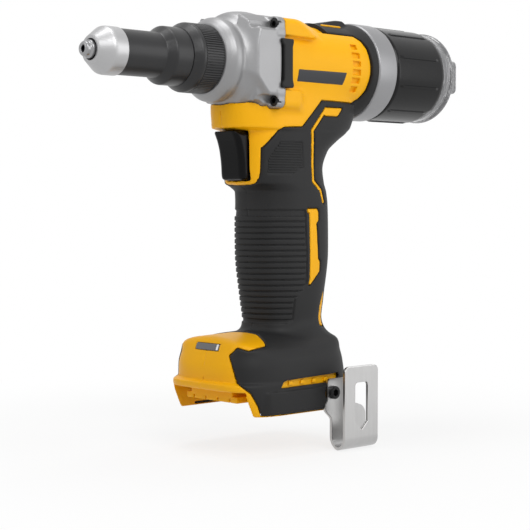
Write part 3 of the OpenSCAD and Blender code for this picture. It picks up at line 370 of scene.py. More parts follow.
# The corner sheet's turn, its lean, the depth where the lean is nothing, and its top
CORNER_COS, CORNER_SIN, CORNER_LEAN, CORNER_MID, SHEET_TOP_Z = 0.7274, 0.6863, 0.1, 50, -135.5
# How much further back the rubber starts on the right, and how far it ends above the foot's bottom
RIGHT_BACK, RUBBER_ABOVE = 5.0, 0.8


def rubber_area(s, z):
    """Below zero where rubber shows on the side, with the yellow windows left out."""
    d = outline_distance(RUBBER, s, z)
    for window in (STRIPE, PATCH, SLIVER):
        d = np.maximum(d, -outline_distance(window, s, z))
    return np.maximum(d, -path_distance(THIN_LINE, THIN_LINE_HALF, s, z))


rubber_map = SideMap(rubber_area)
slot_map, panel_map, pad_map, end_map, plate_map = (
    outline_map(outline) for outline in (SIDE_SLOT, RIB_PANEL, LINE_PAD, YELLOW_END, PLATE))
foot_map = outline_map(FOOT_RUBBER, (35.0, -185.0), (160.0, -85.0))
top_edge = flow(*zip(*FOOT_TOP_RUBBER))


def rubber_shows(s, y, z, right):
    """Below zero where rubber shows: on the side above the foot, and on the corner sheet below it."""
    y = np.abs(y)
    across = CORNER_COS * s + CORNER_SIN * y - (RIGHT_BACK if right else 0.0)
    up = z + CORNER_LEAN * (CORNER_SIN * s - CORNER_COS * y - CORNER_MID)
    foot = np.maximum(np.minimum(foot_map(across, up), (top_edge(y) - s) * 0.9), BOTTOM_Z + RUBBER_ABOVE - z)
    return np.where(z < SHEET_TOP_Z, foot, rubber_map(s, z))


SADDLE_LOW_Z, RING_LOW_Z, RING_FRONT_S = -18.0, -17.8, 163.4


def rear_shows(s, z):
    """Below zero where the rear bumper shows: a saddle on top, a ring behind the yellow sides and below."""
    return np.where(z < RING_LOW_Z, RING_FRONT_S - s, -end_map(s, z))


def envelope(s, y, z):
    """The whole moulded body, before it is parted into plastic and rubber."""
    barrel = soft_max(barrel_field(s, y, z), slab(s, SEAM_S + 0.12, BAND_S), 0.4)
    return soft_min(barrel, soft_max(grip_field(s, y, z), s - BAND_S + 0.2, 0.8), 4.0)


POCKET_LOW, POCKET_HIGH, POCKET_HALF = -59.7, -34.3, 9.1


def body_cuts(s, y, z):
    """Above zero inside what is cut out of plastic and rubber alike."""
    y = np.abs(y)
    pocket = soft_max(y - POCKET_HALF, s - SWITCH_END_S, 1.0)
    pocket = soft_max(slab(z, POCKET_LOW, POCKET_HIGH), pocket, 1.6)
    bay = np.maximum(np.maximum(y - BAY_HALF, z - BAY_Z), s - BAY_END_S)
    cuts = np.maximum(SEAT_GAP - gear_field(s, y, z), -np.minimum(pocket, bay))
    return np.maximum(cuts, MOTOR_ROOM_R - np.hypot(y, z))


def case_wells(s, y, z):
    """Above zero inside the wells of the screws that clamp the halves, for the right half only."""
    cuts = np.full(np.broadcast(s, y, z).shape, -1e3)
    for cs, cz in CASE_SCREWS:
        well = np.maximum(np.hypot(s - cs, z - cz) - CASE_WELL_R, CASE_WELL_Y - np.abs(y))
        cuts = np.maximum(cuts, -well)
    return cuts


LAMP_S, LAMP_Z, LAMP_TURN = 75.7, -142.0, math.radians(67)
LAMP_HALF_H, LAMP_HALF_L, LAMP_ROOM = 1.75, 8.6, 3.4


def lamp_axes(s, z):
    """Along the lamp's sloped face, and out of it."""
    u, v = -(s - LAMP_S), z - LAMP_Z
    along = u * math.cos(LAMP_TURN) - v * math.sin(LAMP_TURN)
    return along, u * math.sin(LAMP_TURN) + v * math.cos(LAMP_TURN)


VENTS, VENT_S, VENT_TOP_Z, VENT_PITCH = 6, 159.2, 10.6, 4.35
VENT_HALF_L, VENT_END_HALF_L, VENT_HALF_H, VENT_DEPTH = 2.9, 2.3, 1.4, 1.7


def plastic_field(right):
    """One half of the yellow shell, with the rubber's seats, the vents and its openings."""
    def field(s, y, z):
        e = envelope(s, y, z)
        floor = -(e + RUBBER_T)
        seat = np.maximum(rubber_shows(s, y, z, right) - SEAT_GAP, floor)
        rear_seat = np.maximum(np.maximum(rear_shows(s, z) - SEAT_GAP, floor), SADDLE_LOW_Z - z)
        d = soft_max(e, -np.minimum(seat, rear_seat), 0.5)
        for i in range(VENTS):
            half_l = VENT_HALF_L if 0 < i < VENTS - 1 else VENT_END_HALF_L
            upright = np.abs(z - VENT_TOP_Z + VENT_PITCH * i) - VENT_HALF_H
            vent = np.maximum(np.abs(s - VENT_S) - half_l, upright)
            d = soft_max(d, -np.maximum(vent, BARREL_R - VENT_DEPTH - np.hypot(y, z)), 0.4)
        d = soft_max(d, body_cuts(s, y, z), 0.6)
        along, out = lamp_axes(s, z)
        opening = np.maximum(np.abs(along) - LAMP_HALF_H, np.abs(y) - LAMP_HALF_L) - SEAT_GAP
        d = soft_max(d, -np.maximum(opening, -LAMP_ROOM - out), 0.4)
        return np.maximum(d, case_wells(s, y, z)) if right else d
    return field


# How far the rubber stands proud, its raised lower band, and how far the rib panel and thumb pad are sunk
RUBBER_PROUD, BAND_PROUD, PANEL_SUNK, PAD_SUNK, RUBBER_REAR_S = 0.35, 1.0, 0.75, 0.4, 169.5
# The raised band's upper edge and front end, from where each starts to where it is full, and gaps
BAND_DEPTHS, BAND_STATIONS, SEAT_SLACK, BARREL_SLACK = (162.9, 163.5), (84, 88), 0.1, 0.05


def rubber_field(right):
    """One half of the grip rubber."""
    def field(s, y, z):
        e = envelope(s, y, z)
        skin = e - RUBBER_PROUD - BAND_PROUD * ramp(-z, *BAND_DEPTHS) * ramp(s, *BAND_STATIONS)
        panel, pad = ramp(-panel_map(s, z), -0.1, 0.5), ramp(-pad_map(s, z), -0.1, 0.4)
        skin = skin + PANEL_SUNK * panel + PAD_SUNK * pad
        d = soft_max(skin, rubber_shows(s, y, z, right) + SEAT_GAP, 1.1)
        d = soft_max(d, -slot_map(s, z), 0.5)
        d = np.maximum(d, -(e + RUBBER_T - SEAT_SLACK))
        d = soft_max(d, body_cuts(s, y, z), 0.6)
        d = np.maximum(d, BARREL_R + BARREL_SLACK - np.hypot(y, z))
        d = np.maximum(d, s - RUBBER_REAR_S)
        hole_s = INSERT_S if right else HOOK_SCREW[0]
        d = np.maximum(d, HOOK_HOLE_R - np.hypot(s - hole_s, z - HOOK_SCREW[1]))
        return np.maximum(d, case_wells(s, y, z)) if right else d
    return field


# The bumper's skin over the barrel, in front and at its swollen rear rim
BUMPER_SKIN, RIM_SWELL, RIM_STATIONS = 0.3, 1.7, (163, 173)
# The ridge: half width, ends, foot, height where it starts, and where it rises and falls
RIDGE_HALF, RIDGE_FRONT_S, RIDGE_REAR_S, RIDGE_FOOT_Z, RIDGE_Z = 7.0, 147, 170, 21.5, 23.4
RIDGE_RISE, RISE_STATIONS, RIDGE_FALL, FALL_STATIONS = 2.7, (146, 163), 2.2, (165.5, 169.5)


def rear_bumper_field(s, y, z):
    """Rubber round the rear of the barrel, with its saddle and ridge on top."""
    barrel = barrel_field(s, y, z)
    skin = barrel - BUMPER_SKIN - RIM_SWELL * ramp(s, *RIM_STATIONS)
    d = np.maximum(skin, -(barrel + RUBBER_T - SEAT_SLACK))
    d = soft_max(d, rear_shows(s, z) + SEAT_GAP, 0.9)
    top = RIDGE_Z + RIDGE_RISE * ramp(s, *RISE_STATIONS) - RIDGE_FALL * ramp(s, *FALL_STATIONS)
    ridge = soft_max(np.abs(y) - RIDGE_HALF + 0.25 * (z - 23), z - top, 1.0)
    ridge = soft_max(ridge, slab(s, RIDGE_FRONT_S, RIDGE_REAR_S), 0.8)
    d = soft_min(d, np.maximum(ridge, RIDGE_FOOT_Z - z), 0.6)
    return soft_max(d, s - BAND_S + 0.1, 0.4)


INSET_R, INSET_ROOT_R, INSET_ANGLE, INSET_HALF, MM_PER_DEGREE = 24.35, 22.6, 22.5, 0.6, 0.41
INSET_FRONT_S, INSET_REAR_S = 146.5, 161.0


def ridge_inset_field(s, y, z):
    """A slim yellow bar on the saddle's side."""
    r = np.hypot(y, z)
    across = np.abs(np.degrees(np.arctan2(y, z)) - INSET_ANGLE) * MM_PER_DEGREE - INSET_HALF
    bar = soft_max(r - INSET_R, across, 0.3)
    return np.maximum(soft_max(bar, slab(s, INSET_FRONT_S, INSET_REAR_S), 0.4), INSET_ROOT_R - r)


BUMPER_FRONT_S, BUMPER_REAR_S, BUMPER_LOW, BUMPER_HIGH, BUMPER_Y = 102.7, 110.7, -13.5, 10.7, 26.1
BUMPER_INNER_Y, WAIST, WAIST_Z, WAIST_HALF, WAIST_RAMP, REAR_SHARE = 21.4, 1.4, -1.4, 10.6, 2.6, 0.45


def side_bumper_field(s, y, z):
    """A block across the seam with a slim waist."""
    waist = WAIST * ramp(WAIST_HALF - np.abs(z - WAIST_Z), 0, WAIST_RAMP)
    block = soft_max(BUMPER_FRONT_S + waist - s, s - BUMPER_REAR_S + REAR_SHARE * waist, 0.5)
    block = soft_max(block, slab(z, BUMPER_LOW, BUMPER_HIGH), 0.9)
    return soft_max(soft_max(block, y - BUMPER_Y, 0.9), BUMPER_INNER_Y - y, 0.5)


PLATE_PROUD, PLATE_SUNK = 0.25, 0.8


def plate_field(s, y, z):
    """A thin plain plate on the barrel's side."""
    e = envelope(s, y, z)
    return np.maximum(soft_max(e - PLATE_PROUD, plate_map(s, z), 0.3), -(e + PLATE_SUNK))


# The trigger's hollow front from its lower end up: height and station
TRIGGER_FRONT = ((-62, 93.4), (-59.6, 92.8), (-58.2, 91.9), (-56.5, 91.5), (-52.0, 91.2), (-45.5, 90.3),
                 (-39.8, 88.7), (-37.4, 87.6), (-35.6, 86.7), (-34.5, 86.1), (-33, 86.0))
TRIGGER_BACK_S, TRIGGER_LOW, TRIGGER_HIGH, TRIGGER_HALF = 97.5, -59.3, -34.7, 8.75
STEM_Z, STEM_R, STEM_FRONT_S, STEM_REAR_S = -48, 3, 96, 106.5
trigger_front = flow(*zip(*TRIGGER_FRONT))


def trigger_field(s, y, z):
    """The trigger and the stem that presses the switch."""
    d = soft_max((trigger_front(z) - s) * 0.95, s - TRIGGER_BACK_S, 0.5)
    d = soft_max(d, slab(z, TRIGGER_LOW, TRIGGER_HIGH), 1.0)
    d = soft_max(d, np.abs(y) - TRIGGER_HALF, 3.2)
    stem = np.maximum(np.hypot(y, z - STEM_Z) - STEM_R, slab(s, STEM_FRONT_S, STEM_REAR_S))
    return np.minimum(d, stem)


# The lamp's pieces, measured out of its face: lens, board and a near-white bar at the lens's end that is a
# painted highlight
LENS_BACK, LENS_PROUD, LENS_CROWN = -2.0, 0.1, 0.02
BOARD_HALF_H, BOARD_HALF_L, BOARD_BACK, BOARD_FRONT = 1.6, 7.8, -3.3, -2.1
GLINT_HALF_H, GLINT_HALF_L, GLINT_Y, GLINT_BACK, GLINT_FRONT = 1.5, 0.7, 7.5, -0.6, 0.25


def lens_field(s, y, z):
    """The lamp's lens, a little crowned."""
    along, out = lamp_axes(s, z)
    face = soft_max(np.abs(along) - LAMP_HALF_H, np.abs(y) - LAMP_HALF_L, 0.9)
    return soft_max(face, slab(out, LENS_BACK, LENS_PROUD - LENS_CROWN * along * along), 0.4)


def lamp_board_field(s, y, z):
    """The lamp's board behind the lens."""
    along, out = lamp_axes(s, z)
    face = np.maximum(np.abs(along) - BOARD_HALF_H, np.abs(y) - BOARD_HALF_L)
    return np.maximum(face, slab(out, BOARD_BACK, BOARD_FRONT))


def lamp_glint_field(s, y, z):
    """A near-white bar at the lens's end: a painted highlight."""
    along, out = lamp_axes(s, z)
    face = soft_max(np.abs(along) - GLINT_HALF_H, np.abs(y - GLINT_Y) - GLINT_HALF_L, 0.4)
    return soft_max(face, slab(out, GLINT_BACK, GLINT_FRONT), 0.2)


RAIL_FRONT_S, RAIL_NECK, RAIL_FLANGE = front("battery_rail_block"), 15.5, 19.0
# Heights from the bay's roof: the neck goes up into it, and the flange hangs below
NECK_UP, NECK_DOWN, FLANGE_TOP, FLANGE_DOWN = 0.6, 4, 3, 6.2
WELL_FRONT_S, WELL_REAR_S, WELL_HALF, WELL_ROOF = 92.1, 117.9, 13, 2.4
RAIL_NOTCHES, NOTCH_PITCH, NOTCH_FIRST_Y, NOTCH_HALF, NOTCH_END_S, NOTCH_ROOF = 4, 9, -13.5, 0.5, 82, 4.2


def rail_field(s, y, z):
    """The block of rails with the contacts' well and the notches at its front."""
    side = np.abs(y)
    neck = np.maximum(side - RAIL_NECK, slab(z, BAY_Z - NECK_DOWN, BAY_Z + NECK_UP))
    flange = soft_max(side - RAIL_FLANGE, slab(z, BAY_Z - FLANGE_DOWN, BAY_Z - FLANGE_TOP), 0.6)
    d = soft_max(np.minimum(neck, flange), slab(s, RAIL_FRONT_S, BAY_END_S), 0.6)
    well = np.maximum(slab(s, WELL_FRONT_S, WELL_REAR_S), side - WELL_HALF)
    well = np.maximum(well, z - BAY_Z + WELL_ROOF)
    d = soft_max(d, -well, 0.5)
    for i in range(RAIL_NOTCHES):
        across = np.abs(y - NOTCH_FIRST_Y - NOTCH_PITCH * i) - NOTCH_HALF
        notch = np.maximum(across, np.maximum(s - NOTCH_END_S, z - BAY_Z + NOTCH_ROOF))
        d = soft_max(d, -notch, 0.4)
    return d


CUP_NECK_R, CUP_SWELL, CUP_SWELL_L, CUP_TAPER, CUP_ROOM_R = 24.5, 0.9, 2.4, 0.5, 23.0
# The rear edge: how far before the cap it ends, its step, and the angles from the side where it steps
CUP_SHORT, CUP_STEP, STEP_ANGLES = 1.6, 1.5, (52, 49)


def cup_field(s, y, z):
    """The ribbed sleeve's wall; its rear edge steps back on both sides."""
    r = np.hypot(y, z)
    around = np.abs(np.degrees(np.arctan2(z, np.abs(y))))
    end = CAP_S - CUP_SHORT + CUP_STEP * ramp(around, *STEP_ANGLES)
    swell = CUP_SWELL * ramp(s, CUP_S + CUP_GAP, CUP_S + CUP_SWELL_L)
    outside = r - CUP_NECK_R - swell + CUP_TAPER * ramp(s, end - 2.5, end + 0.2)
    return np.maximum(soft_max(outside, slab(s, CUP_S + CUP_GAP, end), 0.5), CUP_ROOM_R - r)


CAP_WALL_R, CAP_SKIRT_R, CAP_RIM_R, CAP_ROOM_R = 22.9, 24.5, 25.2, 21.0
# How far the cap reaches into the cup, its end wall, its rim, and the twist bar's half sizes and corner
CAP_INSIDE, CAP_END_T, CAP_RIM_L = 6, 3.0, 3.2
TWIST_BAR_HALF_L, TWIST_BAR_HALF_W, TWIST_BAR_CORNER = 20.3, 9.2, 3.0


def cap_field(s, y, z):
    """The cup's clear end cap with its rim and twist bar."""
    r = np.hypot(y, z)
    wall = np.maximum(r - CAP_WALL_R, slab(s, CAP_S - CAP_INSIDE, END_S - 1))
    skirt = soft_max(r - CAP_SKIRT_R, slab(s, CAP_S + 0.1, END_S - 1), 0.4)
    rim = soft_max(r - CAP_RIM_R, slab(s, END_S - CAP_RIM_L, END_S - 0.2), 1.0)
    d = np.minimum(np.minimum(wall, skirt), rim)
    d = np.maximum(d, -np.maximum(r - CAP_ROOM_R, s - END_S + CAP_END_T))
    bar = soft_max(np.abs(y) - TWIST_BAR_HALF_L, np.abs(z) - TWIST_BAR_HALF_W, TWIST_BAR_CORNER)
    bar = soft_max(bar, slab(s, END_S - 1.5, END_S + TWIST_BAR_L - 0.1), 1.2)
    return soft_min(d, bar, 1.0)


# From points and fields to meshes

def in_metres(points):
    """Points of station, side and height in millimetres as points of the frame."""
    return [(-s * MM, y * MM, z * MM) for s, y, z in points]


def smoothed(mesh, crease):
    """The mesh shaded smooth, but for edges sharper than the crease in degrees."""
    mesh.shade_smooth()
    mesh.set_sharp_from_angle(angle=math.radians(crease))
    return mesh


def faced_outward(mesh, merge=0.0):
    """The mesh without loose points, with points closer than merge joined and its faces turned outward."""
    bm = bmesh.new()
    bm.from_mesh(mesh)
    bmesh.ops.delete(bm, geom=[v for v in bm.verts if not v.link_faces], context="VERTS")
    if merge:
        bmesh.ops.remove_doubles(bm, verts=bm.verts, dist=merge)
    bmesh.ops.recalc_face_normals(bm, faces=bm.faces)
    bm.to_mesh(mesh)
    bm.free()
    return mesh


def mirrored(mesh):
    """A copy of the mesh on the other side of the tool."""
    other = mesh.copy()
    other.transform(Matrix.Scale(-1, 4, (0, 1, 0)))
    other.flip_normals()
    return other


def joined(meshes):
    """Several meshes as one."""
    bm = bmesh.new()
    for mesh in meshes:
        bm.from_mesh(mesh)
    made = bpy.data.meshes.new("joined")
    bm.to_mesh(made)
    bm.free()
    return made


def quad_mesh(points, quads):
    """A closed mesh of points in millimetres of station, side and height, with its faces turned outward."""
    p = np.array(points, float)
    p[:, 0] *= -1
    f = np.array(quads)
    a, b, c, d = (p[f[:, k]] for k in range(4))
    volume = np.einsum("ij,ij->i", a, np.cross(b, c)).sum() + np.einsum("ij,ij->i", a, np.cross(c, d)).sum()
    if volume < 0:
        f = f[:, ::-1]
    mesh = bpy.data.meshes.new("quads")
    mesh.from_pydata((p * MM).tolist(), [], f.tolist())
    mesh.update()
    return mesh


def settle(field, p, reach):
    """Moves points onto a field's surface."""
    tiny = 0.04
    for _ in range(3):
        s, y, z = p.T
        d = field(s, y, z)
        slope = np.stack([field(s + tiny, y, z) - field(s - tiny, y, z),
                          field(s, y + tiny, z) - field(s, y - tiny, z),
                          field(s, y, z + tiny) - field(s, y, z - tiny)], 1) / (2 * tiny)
        move = -d[:, None] * slope / (np.sum(slope * slope, 1, keepdims=True) + 0.05)
        size = np.linalg.norm(move, axis=1, keepdims=True)
        p = p + move * np.minimum(1, reach / (size + 1e-9))
    return p


def skin_mesh(field, low, high, step, halved=0, crease=40):
    """The surface of a field as a mesh; a halved one is only the side y > 0 or y < 0, closed at y = 0."""
    axes = [np.arange(a, b + step, step) for a, b in zip(low, high)]
    if halved:
        axes[1] = np.arange(-1.5 * step, high[1] + step, step)
    s, y, z = np.meshgrid(*axes, indexing="ij", sparse=True)

    def side(s, y, z):
        d = field(s, y, z)
        return np.maximum(d, -y) if halved else d
    values = np.broadcast_to(side(s, y, z), [len(a) for a in axes])
    grid = openvdb.FloatGrid(4 * step)
    grid.copyFromArray(np.ascontiguousarray(np.clip(values, -4 * step, 4 * step), dtype=np.float32))
    points, quads = grid.convertToQuads(isovalue=0.0)
    p = np.array([a[0] for a in axes]) + points.astype(float) * step
    p = settle(side, p, 0.45 * step)
    if halved:
        p[p[:, 1] < 0.4 * step, 1] = 0
        p[:, 1] *= halved
    return smoothed(quad_mesh(p, quads), crease)


def filleted(points, steps=5):
    """Rounds the corners of a closed outline: points of radius, station and, where round, fillet."""
    out = []
    for i, point in enumerate(points):
        p = np.array(point[:2], float)
        if len(point) < 3:
            out.append(p)
            continue
        before, after = (np.array(points[k % len(points)][:2], float) - p for k in (i - 1, i + 1))
        la, lb = np.linalg.norm(before), np.linalg.norm(after)
        reach = min(point[2], 0.45 * la, 0.45 * lb)
        start, end = p + before / la * reach, p + after / lb * reach
        for k in range(steps + 1):
            t = k / steps
            out.append((1 - t) ** 2 * start + 2 * t * (1 - t) * p + t * t * end)
    return out


def stacked_quads(rows, n, closed=False):
    """Faces between rings of n points that lie one after the other in a list."""
    pairs = [(j, (j + 1) % rows) for j in range(rows if closed else rows - 1)]
    sides = [(k, (k + 1) % n) for k in range(n)]
    return [(a * n + k, a * n + m, b * n + m, b * n + k) for a, b in pairs for k, m in sides]


def turned_mesh(outline, steps=128, crease=32):
    """A closed outline of radius, station and fillet, turned about the barrel axis."""
    ring = filleted(outline)
    turns = [2 * math.pi * k / steps for k in range(steps)]
    points = [(p[1], p[0] * math.sin(a), p[0] * math.cos(a)) for a in turns for p in ring]
    mesh = quad_mesh(points, stacked_quads(steps, len(ring), closed=True))
    return smoothed(faced_outward(mesh, 1e-7), crease)


# Geometry nodes for what repeats

def new_tree(name, inputs):
    """A geometry tree with the given inputs besides its geometry, with its first and last node."""
    tree = bpy.data.node_groups.new(name, "GeometryNodeTree")
    tree.interface.new_socket("Geometry", in_out="INPUT", socket_type="NodeSocketGeometry")
    for socket, kind in inputs.items():
        tree.interface.new_socket(socket, in_out="INPUT", socket_type="NodeSocket" + kind)
    tree.interface.new_socket("Finish", in_out="INPUT", socket_type="NodeSocketMaterial")
    tree.interface.new_socket("Geometry", in_out="OUTPUT", socket_type="NodeSocketGeometry")
    return tree, tree.nodes.new("NodeGroupInput"), tree.nodes.new("NodeGroupOutput")


def end_tree(tree, given, made, result):
    """Ends a tree: copies are made real and get the finish."""
    real, paint = tree.nodes.new("GeometryNodeRealizeInstances"), tree.nodes.new("GeometryNodeSetMaterial")
    tree.links.new(result, real.inputs[0])
    tree.links.new(real.outputs[0], paint.inputs["Geometry"])
    tree.links.new(given.outputs["Finish"], paint.inputs["Material"])
    tree.links.new(paint.outputs[0], made.inputs[0])


def copies_tree(place):
    """A tree that copies its input: in a ring round the barrel, in a line down, or along it."""
    tree, given, made = new_tree("copies_" + place, {"Copies": "Int", "Pitch": "Float"})
    nodes, links = tree.nodes, tree.links
    points, copy = nodes.new("GeometryNodePoints"), nodes.new("GeometryNodeInstanceOnPoints")
    index, step = nodes.new("GeometryNodeInputIndex"), nodes.new("ShaderNodeMath")
    vector = nodes.new("ShaderNodeCombineXYZ")
    step.operation = "MULTIPLY"
    links.new(index.outputs[0], step.inputs[0])
    links.new(given.outputs["Pitch"], step.inputs[1])
    links.new(step.outputs[0], vector.inputs["Z" if place == "down" else "X"])
    links.new(given.outputs["Copies"], points.inputs["Count"])
    links.new(vector.outputs[0], copy.inputs["Rotation"] if place == "ring" else points.inputs["Position"])
    links.new(points.outputs[0], copy.inputs["Points"])
    links.new(given.outputs["Geometry"], copy.inputs["Instance"])
    end_tree(tree, given, made, copy.outputs[0])
    return tree


def ribs_tree():
    """A tree that sweeps an upright bar with rounded edges along every line of its input."""
    tree, given, made = new_tree("swept_ribs", {"Depth": "Float", "Height": "Float", "Round": "Float"})
    nodes, links = tree.nodes, tree.links
    curve, upright = nodes.new("GeometryNodeMeshToCurve"), nodes.new("GeometryNodeSetCurveNormal")
    bar, soft = nodes.new("GeometryNodeCurvePrimitiveQuadrilateral"), nodes.new("GeometryNodeFilletCurve")
    sweep, smooth = nodes.new("GeometryNodeCurveToMesh"), nodes.new("GeometryNodeSetShadeSmooth")
    upright.mode = "Z_UP"
    soft.mode = "POLY"
    soft.inputs["Count"].default_value = 5
    soft.inputs["Limit Radius"].default_value = True
    sweep.inputs["Fill Caps"].default_value = True
    links.new(given.outputs["Geometry"], curve.inputs["Mesh"])
    links.new(curve.outputs[0], upright.inputs["Curve"])
    links.new(given.outputs["Depth"], bar.inputs["Width"])
    links.new(given.outputs["Height"], bar.inputs["Height"])
    links.new(bar.outputs[0], soft.inputs["Curve"])
    links.new(given.outputs["Round"], soft.inputs["Radius"])
    links.new(upright.outputs[0], sweep.inputs["Curve"])
    links.new(soft.outputs[0], sweep.inputs["Profile Curve"])
    links.new(sweep.outputs[0], smooth.inputs["Geometry"])
    end_tree(tree, given, made, smooth.outputs[0])
    return tree


COPIES = {place: copies_tree(place) for place in ("ring", "down", "along")}
RIBS = ribs_tree()


def seed_object(mesh):
    """An object that carries a mesh until its modifiers are evaluated."""
    seed = bpy.data.objects.new("seed", mesh)
    bpy.context.scene.collection.objects.link(seed)
    return seed


def evaluated(seed):
    """The plain mesh that an object's modifiers make; the object itself is removed."""
    made = bpy.data.meshes.new_from_object(seed.evaluated_get(bpy.context.evaluated_depsgraph_get()))
    bpy.data.objects.remove(seed)
    return made


def through_tree(mesh, tree, **values):
    """The plain mesh that a geometry tree makes of a mesh, with the tree's inputs given by name."""
    seed = seed_object(mesh)
    maker = seed.modifiers.new("maker", "NODES")
    maker.node_group = tree
    sockets = {item.name: item.identifier for item in tree.interface.items_tree if item.in_out == "INPUT"}
    for name, value in values.items():
        maker[sockets[name]] = value
    return evaluated(seed)


def swept_mesh(lines, depth, height, edge, finish_used):
    """Bars with rounded edges along lines of points in millimetres."""
    points, edges = [], []
    for line in lines:
        first = len(points)
        points += in_metres(line)
        edges += [(first + i, first + i + 1) for i in range(len(line) - 1)]
    mesh = bpy.data.meshes.new("lines")
    mesh.from_pydata(points, edges, [])
    return through_tree(mesh, RIBS, Depth=depth * MM, Height=height * MM, Round=edge * MM,
                        Finish=finish_used)


# Finishes

# The noise under every finish: its cloudy and its fine part, the fine one's share, and the grain's depth
CLOUD_SCALE, CLOUD_DETAIL, FINE_DETAIL, FINE_SHARE, GRAIN_DEPTH = 34, 4, 3, 0.45, 0.0002
# Pointiness where the painted highlight along sharp edges starts and where it is full
EDGE_START, EDGE_FULL = 0.53, 0.62


def finish(name, color, rough, metal, grain, bump, mottle, stretch=(1, 1, 1), spread=0.12, coat=0.0,
           transmission=0.0, specular=0.5, edge_highlight=0.0):
    """A finish with mottled colour, uneven gloss and a fine grain that stretch draws out along an axis."""
    made = bpy.data.materials.new(name)
    made.use_nodes = True
    nodes, links = made.node_tree.nodes, made.node_tree.links
    nodes.clear()
    out, shader = nodes.new("ShaderNodeOutputMaterial"), nodes.new("ShaderNodeBsdfPrincipled")
    links.new(shader.outputs[0], out.inputs["Surface"])
    place, mapping = nodes.new("ShaderNodeTexCoord"), nodes.new("ShaderNodeMapping")
    mapping.inputs["Scale"].default_value = stretch
    links.new(place.outputs["Object"], mapping.inputs["Vector"])
    cloud, fine = nodes.new("ShaderNodeTexNoise"), nodes.new("ShaderNodeTexNoise")
    cloud.inputs["Scale"].default_value, cloud.inputs["Detail"].default_value = CLOUD_SCALE, CLOUD_DETAIL
    fine.inputs["Scale"].default_value, fine.inputs["Detail"].default_value = grain, FINE_DETAIL
    links.new(place.outputs["Object"], cloud.inputs["Vector"])
    links.new(mapping.outputs[0], fine.inputs["Vector"])
    both = nodes.new("ShaderNodeMix")
    both.data_type = "FLOAT"
    both.inputs["Factor"].default_value = FINE_SHARE
    links.new(cloud.outputs["Fac"], both.inputs["A"])
    links.new(fine.outputs["Fac"], both.inputs["B"])
    tint = nodes.new("ShaderNodeValToRGB")
    shades = ([c * (1 - mottle) for c in color], [min(1, c * (1 + mottle)) for c in color])
    for stop, position, shade in zip(tint.color_ramp.elements, (0.3, 0.7), shades):
        stop.position, stop.color = position, (*shade, 1)
    links.new(both.outputs["Result"], tint.inputs["Fac"])
    color_from = tint.outputs["Color"]
    # Where asked, sharp edges get a lighter colour: a painted highlight
    if edge_highlight:
        color_from = painted_edge_highlight(nodes, links, color_from, [min(1, c * 1.5 + 0.05) for c in color], edge_highlight)
    links.new(color_from, shader.inputs["Base Color"])
    gloss = nodes.new("ShaderNodeMapRange")
    gloss.inputs["To Min"].default_value = rough - spread / 2
    gloss.inputs["To Max"].default_value = rough + spread / 2
    links.new(both.outputs["Result"], gloss.inputs["Value"])
    links.new(gloss.outputs["Result"], shader.inputs["Roughness"])
    relief = nodes.new("ShaderNodeBump")
    relief.inputs["Strength"].default_value, relief.inputs["Distance"].default_value = bump, GRAIN_DEPTH
    links.new(fine.outputs["Fac"], relief.inputs["Height"])
    links.new(relief.outputs[0], shader.inputs["Normal"])
    shader.inputs["Metallic"].default_value = metal
    shader.inputs["Coat Weight"].default_value = coat
    shader.inputs["Specular IOR Level"].default_value = specular
    shader.inputs["Transmission Weight"].default_value = transmission
    return made


def painted_edge_highlight(nodes, links, color_from, highlight_color, edge_highlight):
    """Mixes a lighter colour in along sharp edges: a painted highlight."""
    sharp, mask = nodes.new("ShaderNodeNewGeometry"), nodes.new("ShaderNodeMapRange")
    mask.inputs["From Min"].default_value, mask.inputs["From Max"].default_value = EDGE_START, EDGE_FULL
    mask.inputs["To Max"].default_value = edge_highlight
    links.new(sharp.outputs["Pointiness"], mask.inputs["Value"])
    highlit = nodes.new("ShaderNodeMix")
    highlit.data_type = "RGBA"
    highlit.inputs["B"].default_value = (*highlight_color, 1)
    links.new(mask.outputs["Result"], highlit.inputs["Factor"])
    links.new(color_from, highlit.inputs["A"])
    return highlit.outputs["Result"]
